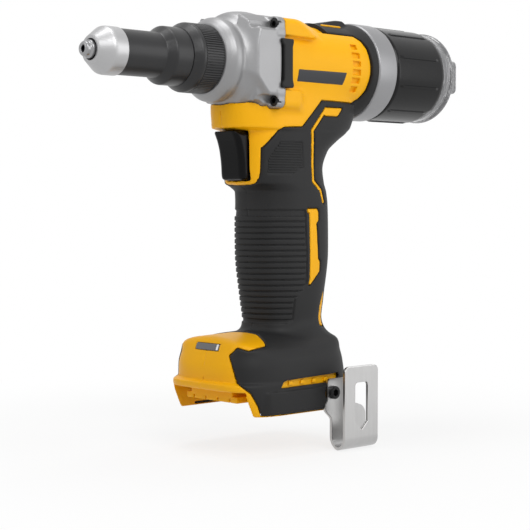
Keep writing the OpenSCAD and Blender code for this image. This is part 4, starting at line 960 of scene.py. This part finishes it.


# Colour, roughness, metal share, grain, bump and mottle of each finish, and what else it needs
# The black metal and the black screws get a painted highlight along their sharp edges
LOOKS = {
    "nose_steel": ((0.31, 0.31, 0.315), 0.30, 1.0, 900, 0.05, 0.06, dict(stretch=(6, 1, 1))),
    "black_metal": ((0.016, 0.016, 0.017), 0.38, 0.3, 700, 0.06, 0.15, dict(stretch=(8, 1, 1), edge_highlight=0.2)),
    "cast_metal": ((0.285, 0.285, 0.29), 0.42, 0.65, 2600, 0.14, 0.06, {}),
    "cone_metal": ((0.43, 0.43, 0.435), 0.40, 0.85, 900, 0.06, 0.05, dict(stretch=(7, 1, 1))),
    "black_screw": ((0.012, 0.012, 0.013), 0.42, 0.5, 2400, 0.1, 0.2, dict(edge_highlight=0.3)),
    "yellow_plastic": ((0.88, 0.425, 0.0), 0.42, 0, 2100, 0.12, 0.03, dict(specular=0.22)),
    "black_rubber": ((0.0125, 0.0125, 0.013), 0.56, 0, 2600, 0.22, 0.16, dict(specular=0.24)),
    "band_metal": ((0.27, 0.27, 0.278), 0.38, 0.6, 900, 0.06, 0.05, dict(stretch=(9, 1, 1))),
    "cup_plastic": ((0.002, 0.002, 0.0024), 0.22, 0, 1500, 0.06, 0.15,
                    dict(stretch=(3, 1, 1), specular=0.24)),
    "smoke_plastic": ((0.40, 0.40, 0.41), 0.10, 0, 1300, 0.02, 0.06,
                      dict(spread=0.06, transmission=0.8, coat=0.5)),
    "trigger_plastic": ((0.002, 0.002, 0.0024), 0.26, 0, 2200, 0.08, 0.15, dict(specular=0.11)),
    "lens": ((0.13, 0.13, 0.14), 0.16, 0, 500, 0.04, 0.1, dict(coat=0.5, transmission=0.3)),
    # A near-white finish for the painted highlight on the lamp's lens
    "lamp_glint": ((0.85, 0.85, 0.85), 0.3, 0, 800, 0.03, 0.03, {}),
    "board": ((0.03, 0.16, 0.06), 0.5, 0, 900, 0.1, 0.2, {}),
    "hook_steel": ((0.47, 0.467, 0.464), 0.30, 1.0, 700, 0.06, 0.05, dict(stretch=(1, 1, 0.08))),
    "brass": ((0.66, 0.46, 0.18), 0.32, 1.0, 900, 0.06, 0.1, {}),
    "copper_wire": ((0.58, 0.25, 0.10), 0.38, 0.9, 1500, 0.2, 0.15, dict(stretch=(1, 6, 6))),
    "laminated_iron": ((0.16, 0.16, 0.17), 0.5, 0.8, 2000, 0.25, 0.15, dict(stretch=(20, 1, 1))),
    "gear_steel": ((0.46, 0.46, 0.47), 0.34, 1.0, 1200, 0.08, 0.08, dict(stretch=(5, 1, 1))),
    "fan_plastic": ((0.06, 0.06, 0.062), 0.5, 0, 1600, 0.1, 0.12, {}),
    "plate_print": ((0.010, 0.011, 0.015), 0.4, 0, 2200, 0.06, 0.2, {}),
}
FINISH = {name: finish(name, *look, **more) for name, (*look, more) in LOOKS.items()}


def part_of(name, mesh, slot, *nodes, body="body", look=None):
    """Puts a finished mesh in the scene as a piece that rides a body and stands for CAD nodes."""
    mesh.name = name
    piece = bpy.data.objects.new(name, mesh)
    bpy.context.scene.collection.objects.link(piece)
    mesh.materials.clear()
    mesh.materials.append(FINISH[look or slot])
    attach(piece, body)
    if nodes:
        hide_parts(*nodes)


# The room in which each skin is looked for: its lowest and highest corner, and the mesh step
ROOMS = {
    "gear_housing": ((71, -29, -27.5), (107.5, 29, 27.5), min(SKIN_STEP, 0.55)),
    "side_bumper": ((101.5, 20.5, -15), (112.5, 28, 12.5), 0.4),
    "side_plate": ((114, 18, -12), (154, 26, 0), 0.4),
    "rear_bumper": ((144, -28, -28), (175.5, 28, 28.5), min(SKIN_STEP, 0.6)),
    "ridge_inset": ((144, 4, 19), (164, 16, 26), 0.3),
    "trigger": ((83, -11, -62.5), (108.5, 11, -33), 0.45),
    "led_lens": ((66, -11, -149), (80, 11, -136), 0.35),
    "led_board": ((70, -9, -148), (84, 9, -138), 0.4),
    "lamp_glint": ((67, 5.5, -148), (79, 9.7, -137), 0.25),
    "battery_rail_block": ((77, -20.5, -172.5), (139.5, 20.5, -161.5), 0.6),
    "collection_cup": ((187, -26.5, -26.5), (229.5, 26.5, 26.5), 0.6),
    "cup_end_cap": ((220.5, -26.5, -26.5), (246, 26.5, 26.5), 0.6),
}

# Nose: outlines of radius, station and fillet

part_of("nosepiece", turned_mesh([
    (1.6, 0.5), (2.0, 0, 0.15), (2.75, 0, 0.3), (3.55, 0.85, 0.3), (3.55, 2.7, 0.35), (4.35, 3.15, 0.3),
    (4.42, 8.3), (3.6, 8.4), (3.6, 12.4), (2.3, 17.0), (1.6, 17.0)]), "nose_steel", "nosepiece")
CONE_END_S = SLEEVE_S - 0.05
part_of("nose_cone", turned_mesh([
    (4.85, 4.9), (5.15, CONE_S, 0.2), (6.55, CONE_S, 0.7), (7.35, 5.5, 1.0), (11.15, 10.7, 1.1),
    (11.4, 12.2, 0.6), (11.4, CONE_END_S, 0.35), (9.95, CONE_END_S), (9.95, 13.1), (3.7, 13.1), (3.7, 8.6),
    (4.85, 8.6)]), "cast_metal", "nose_cone", look="cone_metal")
part_of("nose_sleeve", turned_mesh([
    (9.1, 13.2), (9.9, 13.2), (9.9, SLEEVE_S + 0.02), (10.9, SLEEVE_S + 0.02, 0.25), (10.9, COLLAR_S, 0.5),
    (13.95, COLLAR_S + 3.6, 0.35), (14.15, COLLAR_S + 4.4, 0.4), (14.15, LOCK_S - 0.3, 0.3),
    (12.3, LOCK_S - 0.1), (12.3, 61.8), (9.1, 61.8)]), "black_metal", "nose_sleeve")
KNURL_S, KNURLS = LOCK_S + 5.6, 84
KNURL_ROOT_R, KNURL_ROOT_HALF, KNURL_TIP_R, KNURL_TIP_HALF = 16.4, 0.52, 17.02, 0.24
part_of("locking_collar", turned_mesh([
    (12.4, LOCK_S), (14.15, LOCK_S, 0.3), (16.75, LOCK_S + 3.5, 0.35), (17.0, LOCK_S + 4.3, 0.3),
    (17.0, KNURL_S, 0.3), (16.6, KNURL_S + 0.3), (16.6, GEAR_S - 0.5), (16.9, GEAR_S - 0.3, 0.2),
    (16.5, GEAR_S), (14.05, GEAR_S), (14.05, 62.0), (12.4, 62.0)]), "black_metal", "locking_collar")
BOX_FACES = [(0, 1, 2, 3), (4, 7, 6, 5), (0, 4, 5, 1), (1, 5, 6, 2), (2, 6, 7, 3), (3, 7, 4, 0)]
tooth = []
for root_s, tip_s in ((KNURL_S + 0.1, KNURL_S + 0.5), (GEAR_S - 0.3, GEAR_S - 0.6)):
    tooth += [(root_s, -KNURL_ROOT_HALF, KNURL_ROOT_R), (root_s, KNURL_ROOT_HALF, KNURL_ROOT_R)]
    tooth += [(tip_s, KNURL_TIP_HALF, KNURL_TIP_R), (tip_s, -KNURL_TIP_HALF, KNURL_TIP_R)]
knurl = through_tree(quad_mesh(tooth, BOX_FACES), COPIES["ring"], Copies=KNURLS,
                     Pitch=2 * math.pi / KNURLS, Finish=FINISH["black_metal"])
part_of("collar_knurl", knurl, "black_metal")

# Gear housing, its screws and the side bumpers

part_of("gear_housing", skin_mesh(gear_cast_field, *ROOMS["gear_housing"]), "cast_metal", "gear_housing")
HEAD_SIDES, SOCKET_DEPTH = 24, 1.9


def on_hexagon(across, a):
    """The point of a hexagon's edge in the direction a."""
    turn = (a + math.pi / 6) % (math.pi / 3) - math.pi / 6
    r = across / math.cos(turn)
    return r * math.sin(a), r * math.cos(a)


def screw_head(s0, s1, r, socket):
    """A cap screw's head along the barrel from s0 back to s1, with a hexagon socket in its front face."""
    turns = [2 * math.pi * k / HEAD_SIDES for k in range(HEAD_SIDES)]
    edge = [on_hexagon(socket, a) for a in turns]
    points = [(s0 + SOCKET_DEPTH, *p) for p in edge] + [(s0, *p) for p in edge]
    rings = ((r - 0.35, s0), (r - 0.08, s0 + 0.12), (r, s0 + 0.4), (r, s1))
    points += [(s, radius * math.sin(a), radius * math.cos(a)) for radius, s in rings for a in turns]
    last = len(points) - HEAD_SIDES
    faces = stacked_quads(len(rings) + 2, HEAD_SIDES)
    faces += [tuple(range(HEAD_SIDES)), tuple(range(last, last + HEAD_SIDES))]
    mesh = bpy.data.meshes.new("head")
    mesh.from_pydata(in_metres(points), [], faces)
    return smoothed(faced_outward(mesh), 30)


EAR_HEAD_R, EAR_SOCKET = 2.6, 1.35
ear_screw = screw_head(EAR_S + 0.1, EAR_S + 2.8, EAR_HEAD_R, EAR_SOCKET)
columns = []
for side in (1, -1):
    upper = ear_screw.copy()
    upper.transform(Matrix.Translation((0, side * EAR_Y * MM, EAR_UP * MM)))
    columns.append(through_tree(upper, COPIES["down"], Copies=2, Pitch=(EAR_DOWN - EAR_UP) * MM,
                                Finish=FINISH["black_screw"]))
part_of("gear_housing_screws", joined(columns), "black_screw", "gear_housing_screws")
left_bumper = skin_mesh(side_bumper_field, *ROOMS["side_bumper"])
part_of("side_bumpers", joined([left_bumper, mirrored(left_bumper)]), "black_rubber", "side_bumpers")

# Housing halves and their rubber

BODY_LOW, BODY_HIGH = (67.5, 0, -176.5), (176.0, 36.0, 28.0)
left_plate = skin_mesh(plate_field, *ROOMS["side_plate"])
for side, hand, plate in ((1, "left", left_plate), (-1, "right", mirrored(left_plate))):
    shell = skin_mesh(plastic_field(side < 0), BODY_LOW, BODY_HIGH, SHELL_STEP, side)
    part_of("housing_" + hand, shell, "yellow_plastic", "housing_" + hand)
    rubber = skin_mesh(rubber_field(side < 0), BODY_LOW, BODY_HIGH, SKIN_STEP, side)
    part_of("grip_rubber_" + hand, rubber, "black_rubber", "grip_rubber_" + hand)
    part_of("side_plate_" + hand, plate, "black_rubber", look="plate_print")
part_of("rear_bumper", skin_mesh(rear_bumper_field, *ROOMS["rear_bumper"]), "black_rubber", "rear_bumper")
inset = skin_mesh(ridge_inset_field, *ROOMS["ridge_inset"])
part_of("ridge_insets", joined([inset, mirrored(inset)]), "yellow_plastic")


def on_grip(z, a, depth):
    """A point under the grip's skin at a height and an angle from the front."""
    reach_front, reach_rear, half, p = (float(curve(z)) for curve in GRIP)

    def power(v):
        return math.copysign(abs(v) ** (2 / p), v)
    middle, reach = GRIP_S + (reach_rear - reach_front) / 2, (reach_front + reach_rear) / 2
    return middle - (reach - depth) * power(math.cos(a)), (half - depth) * power(math.sin(a)), z


def rib_lines(area, heights, depth, edge, first=0.0, last=150.0):
    """Lines round the grip between two angles from the front, where they lie inside an outline."""
    lines = []
    for z in heights:
        line = []
        for a in np.radians(np.linspace(-last, last, 241)):
            point = on_grip(z, a, depth)
            if abs(math.degrees(a)) >= first and area(np.array(point[0]), np.array(z)) < edge:
                line.append(point)
            elif line:
                lines.append(line)
                line = []
        if line:
            lines.append(line)
    return [line for line in lines if len(line) > 2]


RIBS_N, RIB_TOP_Z, RIB_PITCH, RIB_H, RIB_DEPTH, RIB_PROUD, RIB_EDGE = 19, -78.6, 2.95, 2.45, 2.4, 0.3, 0.55
rib_heights = [RIB_TOP_Z - RIB_PITCH * i for i in range(RIBS_N)]
ribs = rib_lines(panel_map, rib_heights, RIB_DEPTH / 2 - RIB_PROUD, -0.6)
ribs = swept_mesh(ribs, RIB_DEPTH, RIB_H, RIB_EDGE, FINISH["black_rubber"])
part_of("grip_ribs", ribs, "black_rubber")
LINES_N, LINE_TOP_Z, LINE_PITCH, LINE_H = 13, -40.6, 1.3, 0.8
LINE_DEPTH, LINE_PROUD, LINE_EDGE, LINE_START = 1.2, 0.28, 0.2, 20.0
line_heights = [LINE_TOP_Z - LINE_PITCH * i for i in range(LINES_N)]
fine_lines = rib_lines(pad_map, line_heights, LINE_DEPTH / 2 - LINE_PROUD, -0.45, LINE_START)
fine_lines = swept_mesh(fine_lines, LINE_DEPTH, LINE_H, LINE_EDGE, FINISH["black_rubber"])
part_of("thumb_pad_lines", fine_lines, "black_rubber")

# Trigger, lamp and battery bay

trigger = skin_mesh(trigger_field, *ROOMS["trigger"])
part_of("trigger", trigger, "trigger_plastic", "trigger", body="trigger")
part_of("led_lens", skin_mesh(lens_field, *ROOMS["led_lens"]), "lens", "led_lens")
part_of("led_board", skin_mesh(lamp_board_field, *ROOMS["led_board"]), "board", "led_board")
# A near-white bar at the lens's end: a painted highlight
part_of("lamp_glint", skin_mesh(lamp_glint_field, *ROOMS["lamp_glint"]), "lens", look="lamp_glint")
rails = skin_mesh(rail_field, *ROOMS["battery_rail_block"])
part_of("battery_rail_block", rails, "yellow_plastic", "battery_rail_block")
BUMPS, BUMP_PITCH, BUMP_Y = 4, 8.2, (30.5, 32.2)
bump_side = ((101, -160.6), (103.6, -160.5), (103.4, -158.7), (101.2, -158.8))
bump = quad_mesh([(s, y, z) for y in BUMP_Y for s, z in bump_side], BOX_FACES)
bumps = through_tree(bump, COPIES["along"], Copies=BUMPS, Pitch=-BUMP_PITCH * MM,
                     Finish=FINISH["yellow_plastic"])
part_of("slot_bumps", bumps, "yellow_plastic")

# Rear band, cup and end cap

part_of("rear_band", turned_mesh([
    (8.0, BAND_S + 0.1), (25.2, BAND_S + 0.1, 0.3), (26.0, BAND_S + 0.8, 0.5), (26.0, CUP_S - 0.8, 0.5),
    (25.3, CUP_S, 0.3), (22.7, CUP_S), (22.7, CUP_S + 7.5, 0.4), (20.7, CUP_S + 7.5), (20.7, CUP_S),
    (3.45, CUP_S), (3.45, 184), (8.0, 184)]), "band_metal", "rear_band")
CUP_RIBS, CUP_RIB_ROOT_R, CUP_RIB_LOW_R, CUP_RIB_H = 10, 25.0, 25.30, 0.6
CUP_RIB_ROOT_HALF, CUP_RIB_TIP_HALF = 1.0, 0.6
rib_seed = []
for s, share in ((CUP_S + 3.4, 0), (CUP_S + 6.0, 1), (CAP_S - 6.6, 1), (CAP_S - 4.0, 0)):
    tip = CUP_RIB_LOW_R + CUP_RIB_H * share
    rib_seed += [(s, -CUP_RIB_ROOT_HALF, CUP_RIB_ROOT_R), (s, -CUP_RIB_TIP_HALF, tip)]
    rib_seed += [(s, CUP_RIB_TIP_HALF, tip), (s, CUP_RIB_ROOT_HALF, CUP_RIB_ROOT_R)]
rib_faces = stacked_quads(4, 4) + [(3, 2, 1, 0), (12, 13, 14, 15)]
cup_ribs = through_tree(quad_mesh(rib_seed, rib_faces), COPIES["ring"], Copies=CUP_RIBS,
                        Pitch=2 * math.pi / CUP_RIBS, Finish=FINISH["cup_plastic"])
cup = skin_mesh(cup_field, *ROOMS["collection_cup"])
part_of("collection_cup", joined([cup, cup_ribs]), "cup_plastic", "collection_cup", body="cup")
end_cap = skin_mesh(cap_field, *ROOMS["cup_end_cap"])
part_of("cup_end_cap", end_cap, "smoke_plastic", "cup_end_cap", body="cup")

# Belt hook: a strip bent from the foot's side, under and up again

FOOT_SIDE_Y, HOOK_T, HOOK_GAP = 33.2, 1.5, 11.3
HOOK_S0, HOOK_S1, HOOK_TAB_Z, HOOK_BEND_Z, HOOK_TOP_Z = 126.8, 151.0, -159.5, -188.8, -152.7
HOOK_IN, HOOK_OUT = FOOT_SIDE_Y + HOOK_T / 2, FOOT_SIDE_Y + HOOK_GAP + HOOK_T / 2
HOOK_R, HOOK_MID = (HOOK_OUT - HOOK_IN) / 2, (HOOK_S0 + HOOK_S1) / 2
# Lengths along the strip from the tab's top: to the bend, round it, and in all
HOOK_DOWN, HOOK_TURN = HOOK_TAB_Z - HOOK_BEND_Z, math.pi * HOOK_R
HOOK_L = HOOK_DOWN + HOOK_TURN + HOOK_TOP_Z - HOOK_BEND_Z
SLOT_TOP, SLOT_LOW, SLOT_HALF, SLOT_CORNER_R, SLOT_SHARE = HOOK_L - 8.2, HOOK_L - 32.6, 4.7, 2.2, 0.2
PLATE_CORNER_R, TAB_CORNER_R, HOOK_CELLS, SLOT_FLARE = 3.0, 1.5, 40, 1.05
HOOK_HEAD_L, HOOK_HEAD_R, HOOK_SOCKET, HOOK_SHANK_R, HOOK_EDGE = 2.0, 3.3, 1.7, 1.6, 0.22
# The strip's front edge from the plate's, and its rear edge, at lengths along it
strip_front = flow((0, 10.6, 13.4, 15.2, 21.0, HOOK_DOWN, HOOK_DOWN + 0.3 * HOOK_TURN,
                    HOOK_DOWN + 0.6 * HOOK_TURN, HOOK_DOWN + HOOK_TURN),
                   (-0.8, -0.8, -2.7, -2.7, 2.1, 2.1, 1.8, 0.3, 0))
strip_rear = flow((0, 12.6, 13.8, 15.3, 17.6, 20.5, HOOK_DOWN, HOOK_DOWN + HOOK_TURN),
                  (141.8, 141.8, 146.5, 151.0, 153.3, 154.0, 154.0, HOOK_S1))


def hook_path(v):
    """The strip's middle at a length v down from the tab's top: side and height."""
    if v < HOOK_DOWN:
        return HOOK_IN, HOOK_TAB_Z - v
    if v < HOOK_DOWN + HOOK_TURN:
        a = (v - HOOK_DOWN) / HOOK_R
        return HOOK_IN + HOOK_R - HOOK_R * math.cos(a), HOOK_BEND_Z - HOOK_R * math.sin(a)
    return HOOK_OUT, HOOK_BEND_Z + v - HOOK_DOWN - HOOK_TURN


def hook_edges(v):
    """Front and rear edge of the strip at a length, with its rounded corners and the narrow tab."""
    strip_end, strip_start = HOOK_S1, HOOK_S0
    if v > HOOK_L - PLATE_CORNER_R:
        cut = PLATE_CORNER_R - math.sqrt(max(0, PLATE_CORNER_R ** 2 - (v - HOOK_L + PLATE_CORNER_R) ** 2))
        strip_start, strip_end = strip_start + cut, strip_end - cut
    if v < TAB_CORNER_R:
        strip_start += TAB_CORNER_R - math.sqrt(max(0, TAB_CORNER_R ** 2 - (TAB_CORNER_R - v) ** 2))
    if v < HOOK_DOWN + HOOK_TURN:
        strip_start += float(strip_front(np.array(v)))
        strip_end = float(strip_rear(np.array(v)))
    return strip_start, strip_end


def slot_half(v):
    """Half the slot's width at a length: round corners above, a point below."""
    if not SLOT_LOW < v < SLOT_TOP:
        return 0.0
    corner = max(0, v - SLOT_TOP + SLOT_CORNER_R)
    rounded = SLOT_HALF - SLOT_CORNER_R + math.sqrt(max(0.0, SLOT_CORNER_R ** 2 - corner ** 2))
    return min(SLOT_HALF, (v - SLOT_LOW) * SLOT_FLARE + 0.01, rounded)


def hook_row(v):
    """A row of points across the strip, crowded so that its middle share is as wide as the slot."""
    start, end = hook_edges(v)
    hole = slot_half(v)
    row = []
    for u in np.linspace(0, 1, HOOK_CELLS + 1):
        off = u - 0.5
        s = start + (end - start) * u
        if hole and abs(off) < SLOT_SHARE:
            s = HOOK_MID + off / SLOT_SHARE * hole
        elif hole:
            share = (abs(off) - SLOT_SHARE) / (0.5 - SLOT_SHARE)
            s = HOOK_MID + math.copysign(hole + ((end - start) / 2 - hole) * share, off)
        row.append((s, *hook_path(v)))
    return row


def hook_mesh():
    """A grid of stations and lengths, open at the screw's hole and at the slot, given its thickness."""
    bend_end = HOOK_DOWN + HOOK_TURN
    lengths = sorted({*np.linspace(0, HOOK_DOWN, 30), *np.linspace(HOOK_DOWN, bend_end, 25),
                      *np.linspace(bend_end, HOOK_L, 70), SLOT_TOP, SLOT_LOW})
    rows = [hook_row(v) for v in lengths]
    width, faces = HOOK_CELLS + 1, []
    for j in range(len(rows) - 1):
        for i in range(HOOK_CELLS):
            in_slot = (slot_half(lengths[j]) and slot_half(lengths[j + 1])
                       and abs((i + 0.5) / HOOK_CELLS - 0.5) < SLOT_SHARE)
            middle_s = (rows[j][i][0] + rows[j][i + 1][0]) / 2
            middle_z = (rows[j][i][2] + rows[j + 1][i][2]) / 2
            at_screw = (lengths[j] < HOOK_DOWN
                        and math.hypot(middle_s - HOOK_SCREW[0], middle_z - HOOK_SCREW[1]) < HOOK_SHANK_R)
            if not in_slot and not at_screw:
                first = j * width + i
                faces.append((first, first + 1, first + 1 + width, first + width))
    mesh = bpy.data.meshes.new("hook_sheet")
    mesh.from_pydata(in_metres([p for row in rows for p in row]), [], faces)
    seed = seed_object(mesh)
    wall = seed.modifiers.new("wall", "SOLIDIFY")
    wall.thickness, wall.offset = HOOK_T * MM, 0
    edge = seed.modifiers.new("edge", "BEVEL")
    edge.width, edge.segments = HOOK_EDGE * MM, 2
    edge.limit_method, edge.angle_limit = "ANGLE", math.radians(60)
    return smoothed(faced_outward(evaluated(seed)), 35)


part_of("belt_hook", hook_mesh(), "hook_steel", "belt_hook")
hook_head = screw_head(0, HOOK_HEAD_L, HOOK_HEAD_R, HOOK_SOCKET)
# The head's front, which faces the nose, is turned to face the left side
out_of_side = Matrix(((1, 0, 0, -HOOK_SCREW[0] * MM), (0, 0, 1, (FOOT_SIDE_Y + HOOK_T + HOOK_HEAD_L) * MM),
                      (0, 1, 0, HOOK_SCREW[1] * MM), (0, 0, 0, 1)))
hook_head.transform(out_of_side @ Matrix.Rotation(math.radians(-90), 4, "Y"))
part_of("belt_hook_screw", faced_outward(hook_head), "black_screw", "belt_hook_screw")

# What stays of the frame gets the finish of its slot

slot_of = {row["node"]: row["material_slot"] for row in frame["record"]["subparts"]}
for name, node in frame["nodes"].items():
    node.data.materials.clear()
    node.data.materials.append(FINISH[slot_of[name]])

# Studio

scene = bpy.context.scene
scene.view_settings.view_transform = "Standard"
FLOOR_Z, FLOOR_SIZE, MIDDLE = -0.1956, 6.0, (-0.12, 0, -0.07)
# The floor's share of white at the middle, and the distances between which it rises to all
FADE_LEAST, FADE_START, FADE_END = 0.80, 0.08, 0.32
# The world's strength as a light, and as it is seen
FILL, WHITE = 0.33, 1.0
# Name, place, width, height and power of each lamp
LAMPS = (("key", (0.2, 0.95, 0.75), 0.7, 0.7, 7.6), ("front", (1.0, -0.25, 0.6), 0.5, 0.9, 2.1),
         ("side", (-0.75, 0.95, 0.10), 0.6, 0.9, 3.2), ("top", (-0.1, -0.1, 1.0), 0.5, 0.5, 4.5))


def shows_backdrop(nodes, links):
    """1 for a ray that shows the backdrop: from the camera, off metal or through clear plastic."""
    path = nodes.new("ShaderNodeLightPath")
    share = path.outputs["Is Camera Ray"]
    for kind in ("Is Glossy Ray", "Is Transmission Ray"):
        either = nodes.new("ShaderNodeMath")
        either.operation = "MAXIMUM"
        links.new(share, either.inputs[0])
        links.new(path.outputs[kind], either.inputs[1])
        share = either.outputs[0]
    return share


def studio_floor():
    """A pale sheet under the tool that keeps its shadow and fades to white around it."""
    mesh = bpy.data.meshes.new("studio_floor")
    corners = [(x * FLOOR_SIZE, y * FLOOR_SIZE, FLOOR_Z) for x, y in ((-1, -1), (1, -1), (1, 1), (-1, 1))]
    mesh.from_pydata(corners, [], [(0, 1, 2, 3)])
    floor = bpy.data.objects.new("studio_floor", mesh)
    scene.collection.objects.link(floor)
    pale = finish("studio_paper", (0.86, 0.86, 0.86), 0.9, 0, 300, 0.01, 0.01)
    mesh.materials.append(pale)
    nodes, links = pale.node_tree.nodes, pale.node_tree.links
    out = next(n for n in nodes if n.bl_idname == "ShaderNodeOutputMaterial")
    lit = out.inputs["Surface"].links[0].from_socket
    white, mix = nodes.new("ShaderNodeEmission"), nodes.new("ShaderNodeMixShader")
    white.inputs["Color"].default_value, white.inputs["Strength"].default_value = (1, 1, 1, 1), WHITE
    place, reach = nodes.new("ShaderNodeTexCoord"), nodes.new("ShaderNodeVectorMath")
    fade, share = nodes.new("ShaderNodeMapRange"), nodes.new("ShaderNodeMath")
    reach.operation, share.operation = "DISTANCE", "MULTIPLY"
    reach.inputs[1].default_value = (MIDDLE[0], MIDDLE[1], FLOOR_Z)
    fade.interpolation_type = "SMOOTHSTEP"
    fade.inputs["From Min"].default_value, fade.inputs["From Max"].default_value = FADE_START, FADE_END
    fade.inputs["To Min"].default_value = FADE_LEAST
    links.new(place.outputs["Object"], reach.inputs[0])
    links.new(reach.outputs["Value"], fade.inputs["Value"])
    links.new(fade.outputs["Result"], share.inputs[0])
    links.new(shows_backdrop(nodes, links), share.inputs[1])
    links.new(share.outputs[0], mix.inputs["Fac"])
    links.new(lit, mix.inputs[1])
    links.new(white.outputs[0], mix.inputs[2])
    links.new(mix.outputs[0], out.inputs["Surface"])


def studio_world():
    """A soft grey light all round, seen as white."""
    world = bpy.data.worlds.new("studio")
    scene.world = world
    world.use_nodes = True
    nodes, links = world.node_tree.nodes, world.node_tree.links
    nodes.clear()
    out, mix = nodes.new("ShaderNodeOutputWorld"), nodes.new("ShaderNodeMixShader")
    for socket, strength in ((1, FILL), (2, WHITE)):
        sky = nodes.new("ShaderNodeBackground")
        sky.inputs["Color"].default_value, sky.inputs["Strength"].default_value = (1, 1, 1, 1), strength
        links.new(sky.outputs[0], mix.inputs[socket])
    links.new(shows_backdrop(nodes, links), mix.inputs["Fac"])
    links.new(mix.outputs[0], out.inputs["Surface"])


def softbox(name, place, width, height, power):
    """A rectangular lamp at a place, turned to the tool's middle."""
    lamp = bpy.data.lights.new(name, "AREA")
    lamp.shape, lamp.size, lamp.size_y, lamp.energy = "RECTANGLE", width, height, power
    box = bpy.data.objects.new(name, lamp)
    box.location = place
    box.rotation_euler = (Vector(MIDDLE) - Vector(place)).to_track_quat("-Z", "Y").to_euler()
    scene.collection.objects.link(box)


studio_floor()
studio_world()
for lamp in LAMPS:
    softbox(*lamp)

# The photograph's camera: its focal length in pixels, and the columns right, up, back and place
PICTURE_PX, FOCAL_PX, SENSOR = 530, 1447, 36.0
camera = bpy.data.objects.new("camera", bpy.data.cameras.new("camera"))
scene.collection.objects.link(camera)
camera.data.sensor_width, camera.data.lens = SENSOR, SENSOR * FOCAL_PX / PICTURE_PX
camera.data.clip_start, camera.data.clip_end = 0.01, 50
camera.matrix_world = Matrix(((-0.7274, -0.0284, 0.6857, 0.3962), (0.6863, -0.0301, 0.7267, 0.5419),
                              (0, 0.9991, 0.0414, -0.0717), (0, 0, 0, 1)))
scene.camera = camera
